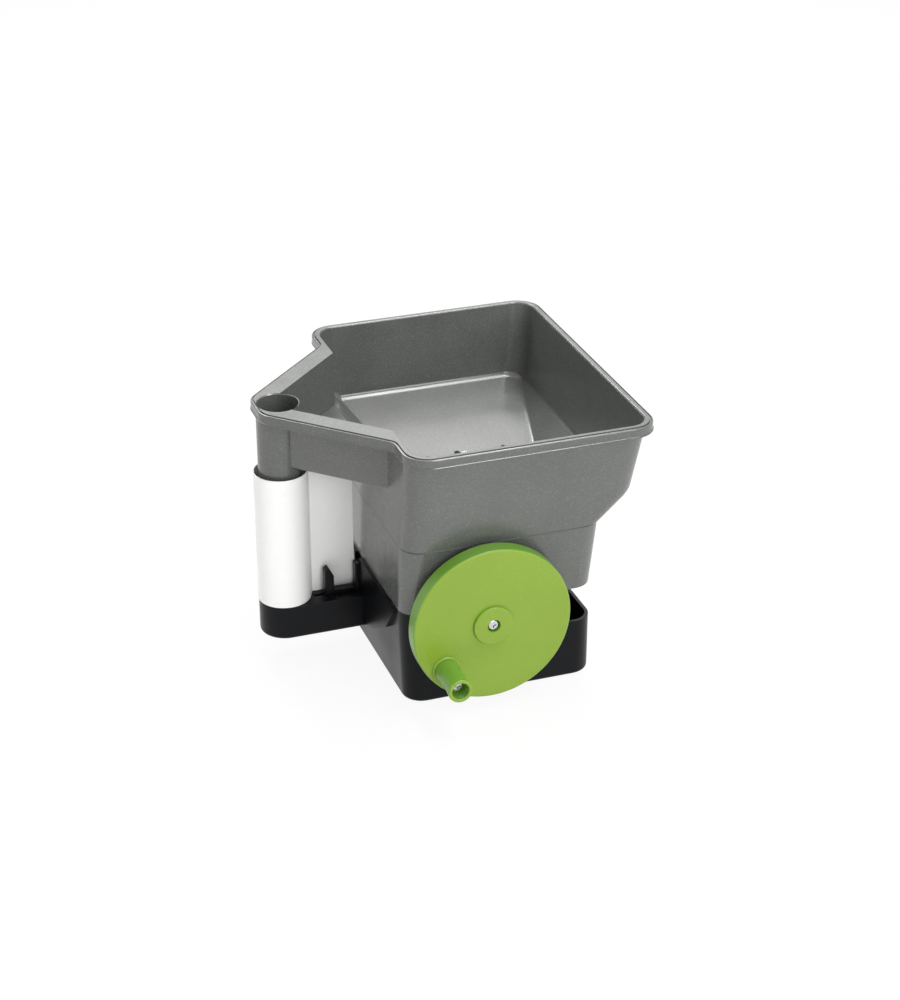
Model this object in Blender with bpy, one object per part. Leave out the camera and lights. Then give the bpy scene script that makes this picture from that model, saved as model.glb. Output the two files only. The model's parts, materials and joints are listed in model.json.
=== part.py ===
# Handheld spreader: a grey hopper with a tube handle, a black base with an arm that closes the
# handle's loop, and a green crank wheel that spins a rotor under the hopper's outlet.
# X points forward, where the seed is thrown. The crank is on the -Y side. Z is up.
# The origin is on the ground below the crank wheel's axis, half way across the base.
import math

import bmesh
import bpy
from mathutils import Matrix, Vector

mm = 0.001

# General sizes
GAP = 0.3 * mm
WELD = 0.002 * mm
WALL = 2.0 * mm
BASE_WALL = 2.5 * mm
ARC_STEPS = 4
ROUND_STEPS = 24
BORE_STEPS = 16
FINE_STEPS = 10
NUT_SIDES = 6
UP = (0, 0, 1)

# Rim, seen from above
RIM_TOP = 191.2 * mm
RIM_SKIRT = 7.3 * mm
RIM_PLATE = 2.4 * mm
RIM_REAR = -56.0 * mm
RIM_FRONT = 119.0 * mm
RIM_HALF_WIDTH = 119.0 * mm
RIM_WIDTH = 5.8 * mm
RIM_CORNER = 18.0 * mm

# Bin, the space that holds the seed
LEDGE_HEIGHT = 137.1 * mm
LEDGE_DRAFT_SIDE = 7.6 * mm
LEDGE_DRAFT_FRONT = 8.9 * mm
BIN_CORNER = 13.0 * mm
SIDE_SLOPE = 0.224
FRONT_SLOPE = 0.915
REAR_SLOPE = 1.0
SUMP_HALF_WIDTH = 20.0 * mm

# Lower box of the hopper, the skirt round the mechanism
SKIRT_BOTTOM = 69.4 * mm
SKIRT_TOP = 118.0 * mm
SKIRT_REAR = -56.4 * mm
SKIRT_FRONT = 80.9 * mm
SKIRT_OVERHANG = 0.4 * mm
SKIRT_DRAFT = 3.8 * mm
SKIRT_CORNER = 14.0 * mm

# Handle tube and the wedge that joins it to the bin
HANDLE_X = -110.0 * mm
TUBE_RADIUS = 15.0 * mm
TUBE_BORE = 13.0 * mm
TUBE_MOUTH = 14.8 * mm
TUBE_MOUTH_DEPTH = 5.0 * mm
TUBE_WEB = 6.0 * mm
TIP_REACH = 16.4 * mm
WEDGE_OUTER = 21.8 * mm
WEDGE_INNER = 5.9 * mm
WEDGE_BOTTOM = 148.2 * mm
WEDGE_FLOOR = 2.2 * mm

# Base and arm
BASE_REAR = -53.1 * mm
BASE_FRONT = 81.9 * mm
BASE_HALF_WIDTH = 100.8 * mm
BASE_DRAFT = 1.0 * mm
BASE_REAR_DRAFT = 3.0 * mm
BASE_CORNER = 14.0 * mm
BASE_FLOOR = 3.0 * mm
TRAY_TOP = 42.8 * mm
THROW_SLOT_REAR = 42.0 * mm
ARM_BOTTOM = 17.6 * mm
ARM_HALF_WIDTH = 18.1 * mm
ARM_DECK = 3.0 * mm
PANEL_REAR = -18.0 * mm
PANEL_TOP = 84.0 * mm
FLARE_DEPTH = 2.5 * mm
SPIGOT_RADIUS = 12.6 * mm
SPIGOT_HEIGHT = 13.0 * mm
PIP_RADIUS = 0.9 * mm
PIP_HEIGHT = 0.6 * mm

# Crank wheel
CRANK_HEIGHT = 64.5 * mm
WHEEL_RADIUS = 55.7 * mm
PANEL_TO_WHEEL = 8.8 * mm
WHEEL_DEPTH = 11.2 * mm
WHEEL_FACE = 2.8 * mm
WHEEL_RIM = 2.5 * mm
HUB_RADIUS = 7.5 * mm
HUB_RING_RADIUS = 14.0 * mm
HUB_RING_HEIGHT = 1.0 * mm
KNOB_ARM = 43.5 * mm
KNOB_ANGLE = 220.0
KNOB_RADIUS = 8.5 * mm
KNOB_LENGTH = 28.0 * mm
KNOB_HOLLOW = 5.6 * mm
KNOB_HOLLOW_DEPTH = 10.0 * mm
KNOB_COLLAR_HEIGHT = 1.6 * mm

# Gears: an inner ring of teeth in the wheel turns a pinion, and two equal bevel gears turn the corner
MODULE = 2.0 * mm
RING_TEETH = 36
PINION_TEETH = 12
ADDENDUM = 1.3 * mm
DEDENDUM = 2.5 * mm
RING_WALL = 3.4 * mm
PINION_WIDTH = 7.4 * mm
BEVEL_TEETH = 12
BEVEL_RADIUS = 10.0 * mm
BEVEL_TIP = 1.2 * mm
BEVEL_ROOT = 1.8 * mm
BEVEL_FACE = 0.4
BEVEL_HUB_RADIUS = 6.5 * mm
BEVEL_HUB_LENGTH = 7.0 * mm

# Shafts and bushes
SHAFT_RADIUS = 3.0 * mm
SHAFT_FLAT = 0.6 * mm
BUSH_WALL = 2.0 * mm
FLANGE_WIDTH = 2.0 * mm
FLANGE_THICKNESS = 1.4 * mm
LOCK_WASHER_THICKNESS = 0.8 * mm

# Rotor, its pillar, and the agitator
ROTOR_RADIUS = 48.0 * mm
ROTOR_BOTTOM = 40.6 * mm
ROTOR_DISC = 2.4 * mm
ROTOR_FINS = 5
FIN_HEIGHT = 10.6 * mm
FIN_THICKNESS = 2.0 * mm
ROTOR_HUB_RADIUS = 8.0 * mm
PILLAR_RADIUS = 9.0 * mm
PILLAR_RIB_REACH = 30.0 * mm
SPINDLE_BOTTOM = 20.0 * mm
AGITATOR_RADIUS = 30.0 * mm
AGITATOR_HUB_RADIUS = 7.0 * mm
AGITATOR_HUB_HEIGHT = 9.0 * mm
AGITATOR_ARM = 3.2 * mm
FINGER_HEIGHT = 11.0 * mm
CAP_NUT_HEIGHT = 4.2 * mm

# Outlet, chute and the flow slide that closes it
OUTLET_LENGTH = 6.0 * mm
OUTLET_HALF_WIDTH = 8.0 * mm
OUTLET_FRONT = 1.5 * mm
GATE_BOTTOM = 58.0 * mm
GATE_THICKNESS = 2.2 * mm
GATE_HALF_WIDTH = 10.5 * mm
GATE_LAP = 1.5 * mm
RAIL_THICKNESS = 2.0 * mm
POST_REAR = -83.3 * mm
POST_THICKNESS = 6.5 * mm
POST_TOP = 64.4 * mm
STOP_POST_THICKNESS = 4.9 * mm
SLIDE_NEAR_SIDE = -10.5 * mm
SLIDE_WIDTH = 7.0 * mm
TAIL_FAR_SIDE = -1.2 * mm
GATE_LENGTH = 34.0 * mm
SLIDE_BAR = 3.0 * mm
SLIDE_TRAVEL = OUTLET_LENGTH + GATE_LAP
TONGUE_THICKNESS = 2.4 * mm
TONGUE_LENGTH = 12.0 * mm
TONGUE_LIP = 2.4 * mm

# Bridge that carries the inner bearings
BRIDGE_BOSS = 8.0 * mm
BRIDGE_PLATE = 3.0 * mm
BRIDGE_WEB = 3.5 * mm
BRIDGE_HALF_LENGTH = 10.0 * mm
SHELF_HEIGHT = 86.0 * mm
BRIDGE_SCREW_X = 46.0 * mm
BRIDGE_SCREW_Y = 14.0 * mm

# Screws
SCREW_HEAD_RADIUS = 3.8 * mm
SCREW_HEAD = 2.6 * mm
SCREW_RADIUS = 1.9 * mm
SCREW_BITE = 13.0 * mm
SMALL_HEAD_RADIUS = 2.8 * mm
SMALL_HEAD = 2.0 * mm
SMALL_RADIUS = 1.3 * mm
SMALL_BITE = 6.0 * mm
POST_RADIUS = 5.0 * mm
REAR_SCREW_X = -41.0 * mm
FRONT_SCREW_X = 35.0 * mm
REAR_SCREW_INSET = 12.8 * mm
FRONT_SCREW_INSET = 10.8 * mm
SCREW_SEAT = 54.0 * mm
AXLE_RADIUS = 3.1 * mm
AXLE_BOSS_RADIUS = 8.0 * mm
AXLE_BITE = 9.0 * mm
WHEEL_WASHER = 0.8 * mm
CROSS_WIDTH = 1.0 * mm
CROSS_DEPTH = 1.2 * mm

# Card sleeve round the handle
CARD = 0.6 * mm
CARD_RADIUS = 18.5 * mm
CARD_FOLD_ANGLE = 22.0
CARD_FOLD_REACH = 1.08
CARD_TOP = 141.0 * mm
CARD_FLAP_TOP = 147.4 * mm
CARD_FLAP_END = -59.2 * mm

# Places that follow from the sizes above
SQRT2 = math.sqrt(2.0)
RIM_SKIRT_BOTTOM = RIM_TOP - RIM_SKIRT
BIN_REAR = RIM_REAR + RIM_WIDTH
BIN_FRONT = RIM_FRONT - RIM_WIDTH
BIN_HALF_WIDTH = RIM_HALF_WIDTH - RIM_WIDTH
LEDGE_FRONT = BIN_FRONT - LEDGE_DRAFT_FRONT
LEDGE_HALF_WIDTH = BIN_HALF_WIDTH - LEDGE_DRAFT_SIDE
SUMP_HEIGHT = LEDGE_HEIGHT - SIDE_SLOPE * (LEDGE_HALF_WIDTH - SUMP_HALF_WIDTH)
SUMP_UNDERSIDE = SUMP_HEIGHT - WALL
WEDGE_FLOOR_TOP = WEDGE_BOTTOM + WEDGE_FLOOR
BASE_TOP = SKIRT_BOTTOM - GAP
SKIRT_HALF_WIDTH = BASE_HALF_WIDTH + BASE_DRAFT + SKIRT_OVERHANG
POST_PLACES = [
    (REAR_SCREW_X, BASE_HALF_WIDTH - REAR_SCREW_INSET),
    (FRONT_SCREW_X, BASE_HALF_WIDTH - FRONT_SCREW_INSET),
]
RING_PITCH = MODULE * RING_TEETH / 2
PINION_PITCH = MODULE * PINION_TEETH / 2
SHAFT_X = RING_PITCH - PINION_PITCH
PANEL_OUTSIDE_Y = -(BASE_HALF_WIDTH + BASE_DRAFT)
PANEL_INSIDE_Y = PANEL_OUTSIDE_Y + BASE_WALL
WHEEL_BACK_Y = PANEL_OUTSIDE_Y - PANEL_TO_WHEEL
WHEEL_FRONT_Y = WHEEL_BACK_Y - WHEEL_DEPTH
WHEEL_INSIDE_Y = WHEEL_FRONT_Y + WHEEL_FACE
PANEL_FRONT = THROW_SLOT_REAR
BUSH_BORE = SHAFT_RADIUS + GAP
BUSH_RADIUS = BUSH_BORE + BUSH_WALL
PILLAR_TOP = ROTOR_BOTTOM - 2 * GAP - FLANGE_THICKNESS
ROTOR_TOP = ROTOR_BOTTOM + ROTOR_DISC
CHUTE_BOTTOM = GATE_BOTTOM + GATE_THICKNESS + GAP
OUTLET_REAR = OUTLET_FRONT - OUTLET_LENGTH
BRIDGE_TOP = SUMP_UNDERSIDE - BRIDGE_BOSS - GAP
BEVEL_HUB_END = BEVEL_RADIUS + BEVEL_HUB_LENGTH
BRIDGE_WEB_Y = -(BEVEL_HUB_END + 4 * GAP + FLANGE_THICKNESS)
AGITATOR_BOTTOM = SUMP_HEIGHT + 2 * GAP
AGITATOR_TOP = AGITATOR_BOTTOM + AGITATOR_HUB_HEIGHT
ARM_UNDERSIDE = TRAY_TOP - ARM_DECK
AXLE_BOSS_END_Y = WHEEL_BACK_Y + WHEEL_WASHER + 2 * GAP
KNOB_X = KNOB_ARM * math.cos(math.radians(KNOB_ANGLE))
KNOB_Z = CRANK_HEIGHT + KNOB_ARM * math.sin(math.radians(KNOB_ANGLE))
KNOB_BASE_Y = WHEEL_FRONT_Y - KNOB_COLLAR_HEIGHT - GAP
SLIDE_FAR_SIDE = SLIDE_NEAR_SIDE + SLIDE_WIDTH
FLARE_REAR = BASE_REAR - BASE_REAR_DRAFT - FLARE_DEPTH
STOP_POST_FRONT = BASE_REAR - BASE_REAR_DRAFT - GAP
TUBE_FOOT = TRAY_TOP + GAP
WEB_BOTTOM = TRAY_TOP + SPIGOT_HEIGHT + 2 * GAP
WEB_TOP = WEB_BOTTOM + TUBE_WEB


# Material makers
def hex_colour(code):
    """An sRGB hex colour as linear red, green, blue and alpha."""
    parts = [int(code[i : i + 2], 16) / 255 for i in (0, 2, 4)]
    linear = [c / 12.92 if c <= 0.04045 else ((c + 0.055) / 1.055) ** 2.4 for c in parts]
    return (*linear, 1.0)


def paint(piece, code, roughness, metallic=0.0):
    """Gives a piece its own material."""
    material = bpy.data.materials.new(piece.name + "_finish")
    material.use_nodes = True
    shader = material.node_tree.nodes["Principled BSDF"]
    shader.inputs["Base Color"].default_value = hex_colour(code)
    shader.inputs["Roughness"].default_value = roughness
    shader.inputs["Metallic"].default_value = metallic
    material.diffuse_color = hex_colour(code)
    piece.data.materials.clear()
    piece.data.materials.append(material)


# Solid makers
def solid(name, mesh_maker):
    """A new object whose mesh is what mesh_maker fills in."""
    shape = bmesh.new()
    mesh_maker(shape)
    bmesh.ops.recalc_face_normals(shape, faces=shape.faces)
    mesh = bpy.data.meshes.new(name)
    shape.to_mesh(mesh)
    shape.free()
    piece = bpy.data.objects.new(name, mesh)
    bpy.context.scene.collection.objects.link(piece)
    return piece


def rounded(corners, radius, steps=ARC_STEPS):
    """An outline through the corners, each turned into an arc. radius is one value or one a corner."""
    outline = []
    count = len(corners)
    for i, corner in enumerate(corners):
        reach = radius[i] if isinstance(radius, list) else radius
        here = Vector(corner)
        if reach <= 0:
            outline.append(here)
            continue
        before = (Vector(corners[i - 1]) - here).normalized()
        after = (Vector(corners[(i + 1) % count]) - here).normalized()
        half = before.angle(after) / 2
        centre = here + (before + after).normalized() * (reach / math.sin(half))
        start = here + before * (reach / math.tan(half)) - centre
        end = here + after * (reach / math.tan(half)) - centre
        swing = math.atan2(start.cross(end), start.dot(end))
        for k in range(steps + 1):
            outline.append(centre + Matrix.Rotation(swing * k / steps, 2) @ start)
    return outline


def box_outline(rear, front, half_width, radius, steps=ARC_STEPS):
    """A rectangle with round corners, anticlockwise from the rear near corner."""
    corners = [(rear, -half_width), (front, -half_width), (front, half_width), (rear, half_width)]
    return rounded(corners, radius, steps)


def circle_outline(x, y, radius, steps=ROUND_STEPS):
    """A circle of points."""
    turns = [2 * math.pi * k / steps for k in range(steps)]
    return [Vector((x + radius * math.cos(turn), y + radius * math.sin(turn))) for turn in turns]


def loft(name, levels):
    """A solid through outlines at rising heights, all with the same number of points."""

    def make(shape):
        rows = [[shape.verts.new((p[0], p[1], height)) for p in outline] for height, outline in levels]
        count = len(rows[0])
        for low, high in zip(rows, rows[1:]):
            for i in range(count):
                j = (i + 1) % count
                shape.faces.new((low[i], low[j], high[j], high[i]))
        shape.faces.new(rows[0][::-1])
        shape.faces.new(rows[-1])

    return solid(name, make)


def prism(name, outline, low, high):
    """An upright solid with one outline."""
    return loft(name, [(low, outline), (high, outline)])


def block(name, x0, x1, y0, y1, z0, z1):
    """A square block between two corners."""
    return prism(name, [(x0, y0), (x1, y0), (x1, y1), (x0, y1)], z0, z1)


def turned(name, profile, place, axis, steps=ROUND_STEPS, hollow=False):
    """A turned solid. The profile's points are (radius, distance along the axis)."""
    turn = Vector((0, 0, 1)).rotation_difference(Vector(axis)).to_matrix()

    def make(shape):
        rings = []
        for radius, along in profile:
            if radius < 1e-9:
                rings.append([shape.verts.new(Vector(place) + turn @ Vector((0, 0, along)))])
                continue
            ring = circle_outline(0, 0, radius, steps)
            rings.append([shape.verts.new(Vector(place) + turn @ Vector((p.x, p.y, along))) for p in ring])
        pairs = list(zip(rings, rings[1:]))
        if hollow:
            pairs.append((rings[-1], rings[0]))
        for one, two in pairs:
            for i in range(steps):
                j = (i + 1) % steps
                quad = [one[i % len(one)], one[j % len(one)], two[j % len(two)], two[i % len(two)]]
                corners = list(dict.fromkeys(quad))
                shape.faces.new(corners)

    return solid(name, make)


def rod(name, radius, place, axis, length, steps=BORE_STEPS):
    """A plain round rod that starts at place."""
    return turned(name, [(0, 0), (radius, 0), (radius, length), (0, length)], place, axis, steps)


def tube(name, inner, outer, place, axis, length, steps=BORE_STEPS):
    """A ring or a plain bush that starts at place."""
    profile = [(inner, 0), (outer, 0), (outer, length), (inner, length)]
    return turned(name, profile, place, axis, steps, hollow=True)


def stood_up(piece):
    """Turns a prism so that its outline (y, z) faces along X, from its low to its high end."""
    piece.data.transform(Matrix(((0, 0, 1, 0), (1, 0, 0, 0), (0, 1, 0, 0), (0, 0, 0, 1))))
    return piece


def turn_piece(piece, matrix):
    """Turns or moves a piece's mesh."""
    piece.data.transform(matrix)
    return piece


def combine(piece, tools, operation):
    """Cuts or joins the tools into the piece, and removes the tools."""
    for tool in tools:
        change = piece.modifiers.new("shape", "BOOLEAN")
        change.operation = operation
        change.solver = "EXACT"
        change.object = tool
        bpy.context.view_layer.update()
        shaped = piece.evaluated_get(bpy.context.evaluated_depsgraph_get())
        shape = bmesh.new()
        shape.from_mesh(bpy.data.meshes.new_from_object(shaped))
        bmesh.ops.remove_doubles(shape, verts=shape.verts, dist=WELD)
        bmesh.ops.dissolve_degenerate(shape, edges=shape.edges, dist=WELD)
        piece.modifiers.clear()
        shape.to_mesh(piece.data)
        shape.free()
        bpy.data.objects.remove(tool)
    return piece


def cut(piece, *tools):
    return combine(piece, tools, "DIFFERENCE")


def join(piece, *tools):
    return combine(piece, tools, "UNION")


def slice_off(piece, point, normal):
    """Removes what lies on the normal's side of a plane, and closes the cut."""
    shape = bmesh.new()
    shape.from_mesh(piece.data)
    everything = shape.verts[:] + shape.edges[:] + shape.faces[:]
    found = bmesh.ops.bisect_plane(
        shape, geom=everything, dist=1e-7, plane_co=point, plane_no=normal, clear_outer=True
    )
    edges = [item for item in found["geom_cut"] if isinstance(item, bmesh.types.BMEdge)]
    bmesh.ops.contextual_create(shape, geom=edges)
    bmesh.ops.recalc_face_normals(shape, faces=shape.faces)
    shape.to_mesh(piece.data)
    shape.free()
    return piece


def finish(piece, code, roughness, metallic=0.0, origin=None, smooth=35.0):
    """Paints a piece, shades it, and puts its origin on its joint's axis."""
    paint(piece, code, roughness, metallic)
    piece.data.shade_smooth()
    piece.data.set_sharp_from_angle(angle=math.radians(smooth))
    if origin is not None:
        piece.data.transform(Matrix.Translation(-Vector(origin)))
        piece.location = origin
    return piece


# Colours
GREY = "6F716F"
BLACK = "1B1C20"
GREEN = "86BA3A"
STEEL = "B9BCC0"
NYLON = "D9D7CC"
WHITE = "F1F1EF"

for old in list(bpy.data.objects):
    bpy.data.objects.remove(old)


# Outlines of the rim, the wedge and the tube
def wedge_line(x, offset):
    """Half width of the wedge at x, for a 45 degree side that passes the tube's axis at offset."""
    return x - HANDLE_X + offset * SQRT2


def rim_outline(inset):
    """The rim's outer edge, moved in by inset."""
    side = WEDGE_OUTER - inset
    tip = HANDLE_X - TIP_REACH + inset
    rear = RIM_REAR + inset
    half = RIM_HALF_WIDTH - inset
    front = RIM_FRONT - inset
    soft = 6.0 * mm - inset
    big = RIM_CORNER - inset
    corners = [
        (tip, -wedge_line(tip, side)),
        (rear, -wedge_line(rear, side)),
        (rear, -half),
        (front, -half),
        (front, half),
        (rear, half),
        (rear, wedge_line(rear, side)),
        (tip, wedge_line(tip, side)),
    ]
    return rounded(corners, [soft, 3.0 * mm + inset, big, big, big, big, 3.0 * mm + inset, soft])


def wedge_outline(side, front):
    """The wedge between the tube and the bin, wider towards the front."""
    near_tube = HANDLE_X + SHAFT_RADIUS
    return [
        (near_tube, -wedge_line(near_tube, side)),
        (front, -wedge_line(front, side)),
        (front, wedge_line(front, side)),
        (near_tube, wedge_line(near_tube, side)),
    ]


def bin_room(name, grow, top):
    """The seed's space: straight-sided above the ledge, with four sloping floors down to a flat sump."""
    low = SUMP_UNDERSIDE - 2 * WALL
    radius = BIN_CORNER + grow
    ledge = box_outline(BIN_REAR - grow, LEDGE_FRONT + grow, LEDGE_HALF_WIDTH + grow, radius)
    mouth = box_outline(BIN_REAR - grow, BIN_FRONT + grow, BIN_HALF_WIDTH + grow, radius)
    room = loft(name, [(low, ledge), (LEDGE_HEIGHT, ledge), (RIM_TOP, mouth), (top, mouth)])
    planes = [
        ((0, LEDGE_HALF_WIDTH, LEDGE_HEIGHT), (0, SIDE_SLOPE, -1)),
        ((0, -LEDGE_HALF_WIDTH, LEDGE_HEIGHT), (0, -SIDE_SLOPE, -1)),
        ((LEDGE_FRONT, 0, LEDGE_HEIGHT), (FRONT_SLOPE, 0, -1)),
        ((BIN_REAR, 0, WEDGE_FLOOR_TOP), (-REAR_SLOPE, 0, -1)),
        ((0, 0, SUMP_HEIGHT), (0, 0, -1)),
    ]
    for point, normal in planes:
        away = Vector(normal).normalized()
        slice_off(room, Vector(point) + away * grow, away)
    return room


def floor_height(x, y):
    """Height of the bin's sloping floor at a place."""
    return max(
        LEDGE_HEIGHT - SIDE_SLOPE * (LEDGE_HALF_WIDTH - abs(y)),
        LEDGE_HEIGHT - FRONT_SLOPE * (LEDGE_FRONT - x),
        WEDGE_FLOOR_TOP - REAR_SLOPE * (x - BIN_REAR),
        SUMP_HEIGHT,
    )


def hopper():
    """Bin, rim, wedge, handle tube, skirt and chute: one grey moulding."""
    shell = loft(
        "hopper",
        [
            (SKIRT_BOTTOM, box_outline(SKIRT_REAR, SKIRT_FRONT, SKIRT_HALF_WIDTH, SKIRT_CORNER)),
            (
                SKIRT_TOP,
                box_outline(
                    SKIRT_REAR + 1.0 * mm,
                    LEDGE_FRONT + WALL - (LEDGE_HEIGHT - SKIRT_TOP) / FRONT_SLOPE + WALL / 2,
                    SKIRT_HALF_WIDTH + SKIRT_DRAFT,
                    SKIRT_CORNER,
                ),
            ),
            (
                LEDGE_HEIGHT,
                box_outline(
                    BIN_REAR - 2 * WALL,
                    LEDGE_FRONT + 1.4 * WALL,
                    LEDGE_HALF_WIDTH + WALL,
                    BIN_CORNER + WALL,
                ),
            ),
            (
                RIM_TOP - RIM_PLATE / 2,
                box_outline(
                    BIN_REAR - 2 * WALL, BIN_FRONT + WALL, BIN_HALF_WIDTH + WALL, BIN_CORNER + WALL
                ),
            ),
        ],
    )
    cap = prism("cap", rim_outline(0.0), RIM_SKIRT_BOTTOM, RIM_TOP)
    under_cap = prism("under_cap", rim_outline(WALL), RIM_SKIRT_BOTTOM - WALL, RIM_TOP - RIM_PLATE)
    cut(cap, under_cap)
    high = RIM_TOP - RIM_PLATE / 2
    wedge = prism("wedge", wedge_outline(WEDGE_INNER + WALL / SQRT2, BIN_REAR), WEDGE_BOTTOM, high)
    handle = rod("handle", TUBE_RADIUS, (HANDLE_X, 0, TUBE_FOOT), UP, high - TUBE_FOOT, ROUND_STEPS)
    join(shell, cap, wedge, handle)

    inner = loft(
        "inner",
        [
            (
                SKIRT_BOTTOM - WALL,
                box_outline(
                    SKIRT_REAR + WALL, SKIRT_FRONT - WALL, SKIRT_HALF_WIDTH - WALL, SKIRT_CORNER - WALL
                ),
            ),
            (
                SKIRT_TOP,
                box_outline(
                    SKIRT_REAR + 1.0 * mm + WALL,
                    SKIRT_FRONT + SKIRT_DRAFT - WALL,
                    SKIRT_HALF_WIDTH + SKIRT_DRAFT - WALL,
                    SKIRT_CORNER - WALL,
                ),
            ),
            (
                LEDGE_HEIGHT,
                box_outline(
                    SKIRT_REAR + 1.0 * mm + WALL,
                    SKIRT_FRONT + SKIRT_DRAFT - WALL,
                    LEDGE_HALF_WIDTH,
                    SKIRT_CORNER - WALL,
                ),
            ),
        ],
    )
    cut(inner, bin_room("grown_bin", WALL, RIM_TOP))
    cut(shell, inner)
    chute_wall = OUTLET_HALF_WIDTH + WALL
    chute = block(
        "chute",
        OUTLET_REAR - WALL,
        OUTLET_FRONT + WALL,
        -chute_wall,
        chute_wall,
        CHUTE_BOTTOM,
        SUMP_HEIGHT + WALL,
    )
    bosses = []
    for x, y in POST_PLACES:
        for side in (-1, 1):
            reach = floor_height(x, y) + POST_RADIUS - SKIRT_BOTTOM
            bosses.append(rod("boss", POST_RADIUS, (x, side * y, SKIRT_BOTTOM), UP, reach))
    for side in (-1, 1):
        place = (BRIDGE_SCREW_X, side * BRIDGE_SCREW_Y, BRIDGE_TOP + GAP)
        bosses.append(rod("boss", POST_RADIUS - WALL / 2, place, UP, BRIDGE_BOSS + 2 * WALL))
    join(shell, chute, *bosses)
    cut(shell, bin_room("bin", 0.0, RIM_TOP + RIM_SKIRT))

    wedge_room = prism(
        "wedge_room",
        wedge_outline(WEDGE_INNER, BIN_REAR + 4 * WALL),
        WEDGE_FLOOR_TOP,
        RIM_TOP + RIM_SKIRT,
    )
    core_length = RIM_TOP - WEDGE_BOTTOM + 2 * RIM_SKIRT
    handle_core = rod("core", TUBE_RADIUS, (HANDLE_X, 0, WEDGE_BOTTOM), UP, core_length, ROUND_STEPS)
    cut(wedge_room, handle_core)
    cut(shell, wedge_room)

    bore_depth = RIM_TOP - WEB_TOP
    bore = turned(
        "bore",
        [
            (0, 0),
            (TUBE_BORE, 0),
            (TUBE_BORE, bore_depth - TUBE_MOUTH_DEPTH),
            (TUBE_MOUTH, bore_depth),
            (TUBE_MOUTH, bore_depth + WALL),
            (0, bore_depth + WALL),
        ],
        (HANDLE_X, 0, WEB_TOP),
        UP,
    )
    socket_length = WEB_BOTTOM - TUBE_FOOT + WALL
    socket = rod("socket", TUBE_BORE, (HANDLE_X, 0, TUBE_FOOT - WALL), UP, socket_length, ROUND_STEPS)
    pilot = rod("pilot", SCREW_RADIUS + GAP, (HANDLE_X, 0, WEB_BOTTOM - WALL), UP, TUBE_WEB + 2 * WALL)
    cut(shell, bore, socket, pilot)

    rail_inner = GATE_HALF_WIDTH + GAP
    rail_outer = rail_inner + RAIL_THICKNESS
    lip_bottom = GATE_BOTTOM - GAP - RAIL_THICKNESS
    rail_rear = OUTLET_REAR - 5 * WALL
    rail_front = OUTLET_FRONT + GATE_LAP + GAP
    shoe_top = CHUTE_BOTTOM + RAIL_THICKNESS
    shoe = block("shoe", rail_rear, rail_front + WALL, -rail_outer, rail_outer, lip_bottom, shoe_top)
    track = block(
        "track", rail_rear - WALL, rail_front, -rail_inner, rail_inner, GATE_BOTTOM - GAP, CHUTE_BOTTOM
    )
    between = block(
        "between",
        rail_rear - WALL,
        rail_front + 2 * WALL,
        -OUTLET_HALF_WIDTH,
        OUTLET_HALF_WIDTH,
        lip_bottom - WALL,
        GATE_BOTTOM,
    )
    cut(shoe, track, between)
    join(shell, shoe)

    for x, y in POST_PLACES:
        for side in (-1, 1):
            place = (x, side * y, SKIRT_BOTTOM - WALL)
            cut(shell, rod("hole", SCREW_RADIUS + GAP, place, UP, SCREW_BITE + 2 * WALL))
    for side in (-1, 1):
        place = (BRIDGE_SCREW_X, side * BRIDGE_SCREW_Y, BRIDGE_TOP)
        cut(shell, rod("hole", SMALL_RADIUS + GAP, place, UP, BRIDGE_BOSS))

    outlet = block(
        "outlet",
        OUTLET_REAR,
        OUTLET_FRONT,
        -OUTLET_HALF_WIDTH,
        OUTLET_HALF_WIDTH,
        CHUTE_BOTTOM - WALL,
        SUMP_HEIGHT + WALL,
    )
    spindle_hole = rod(
        "spindle_hole", SHAFT_RADIUS + GAP, (SHAFT_X, 0, SUMP_UNDERSIDE - WALL), UP, 4 * WALL
    )
    notch = block(
        "notch",
        PANEL_REAR - GAP,
        PANEL_FRONT + GAP,
        -SKIRT_HALF_WIDTH - SKIRT_DRAFT - WALL,
        PANEL_INSIDE_Y + WALL,
        SKIRT_BOTTOM - WALL,
        PANEL_TOP + GAP,
    )
    cut(shell, outlet, spindle_hole, notch)
    finish(shell, GREY, 0.42)


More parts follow.
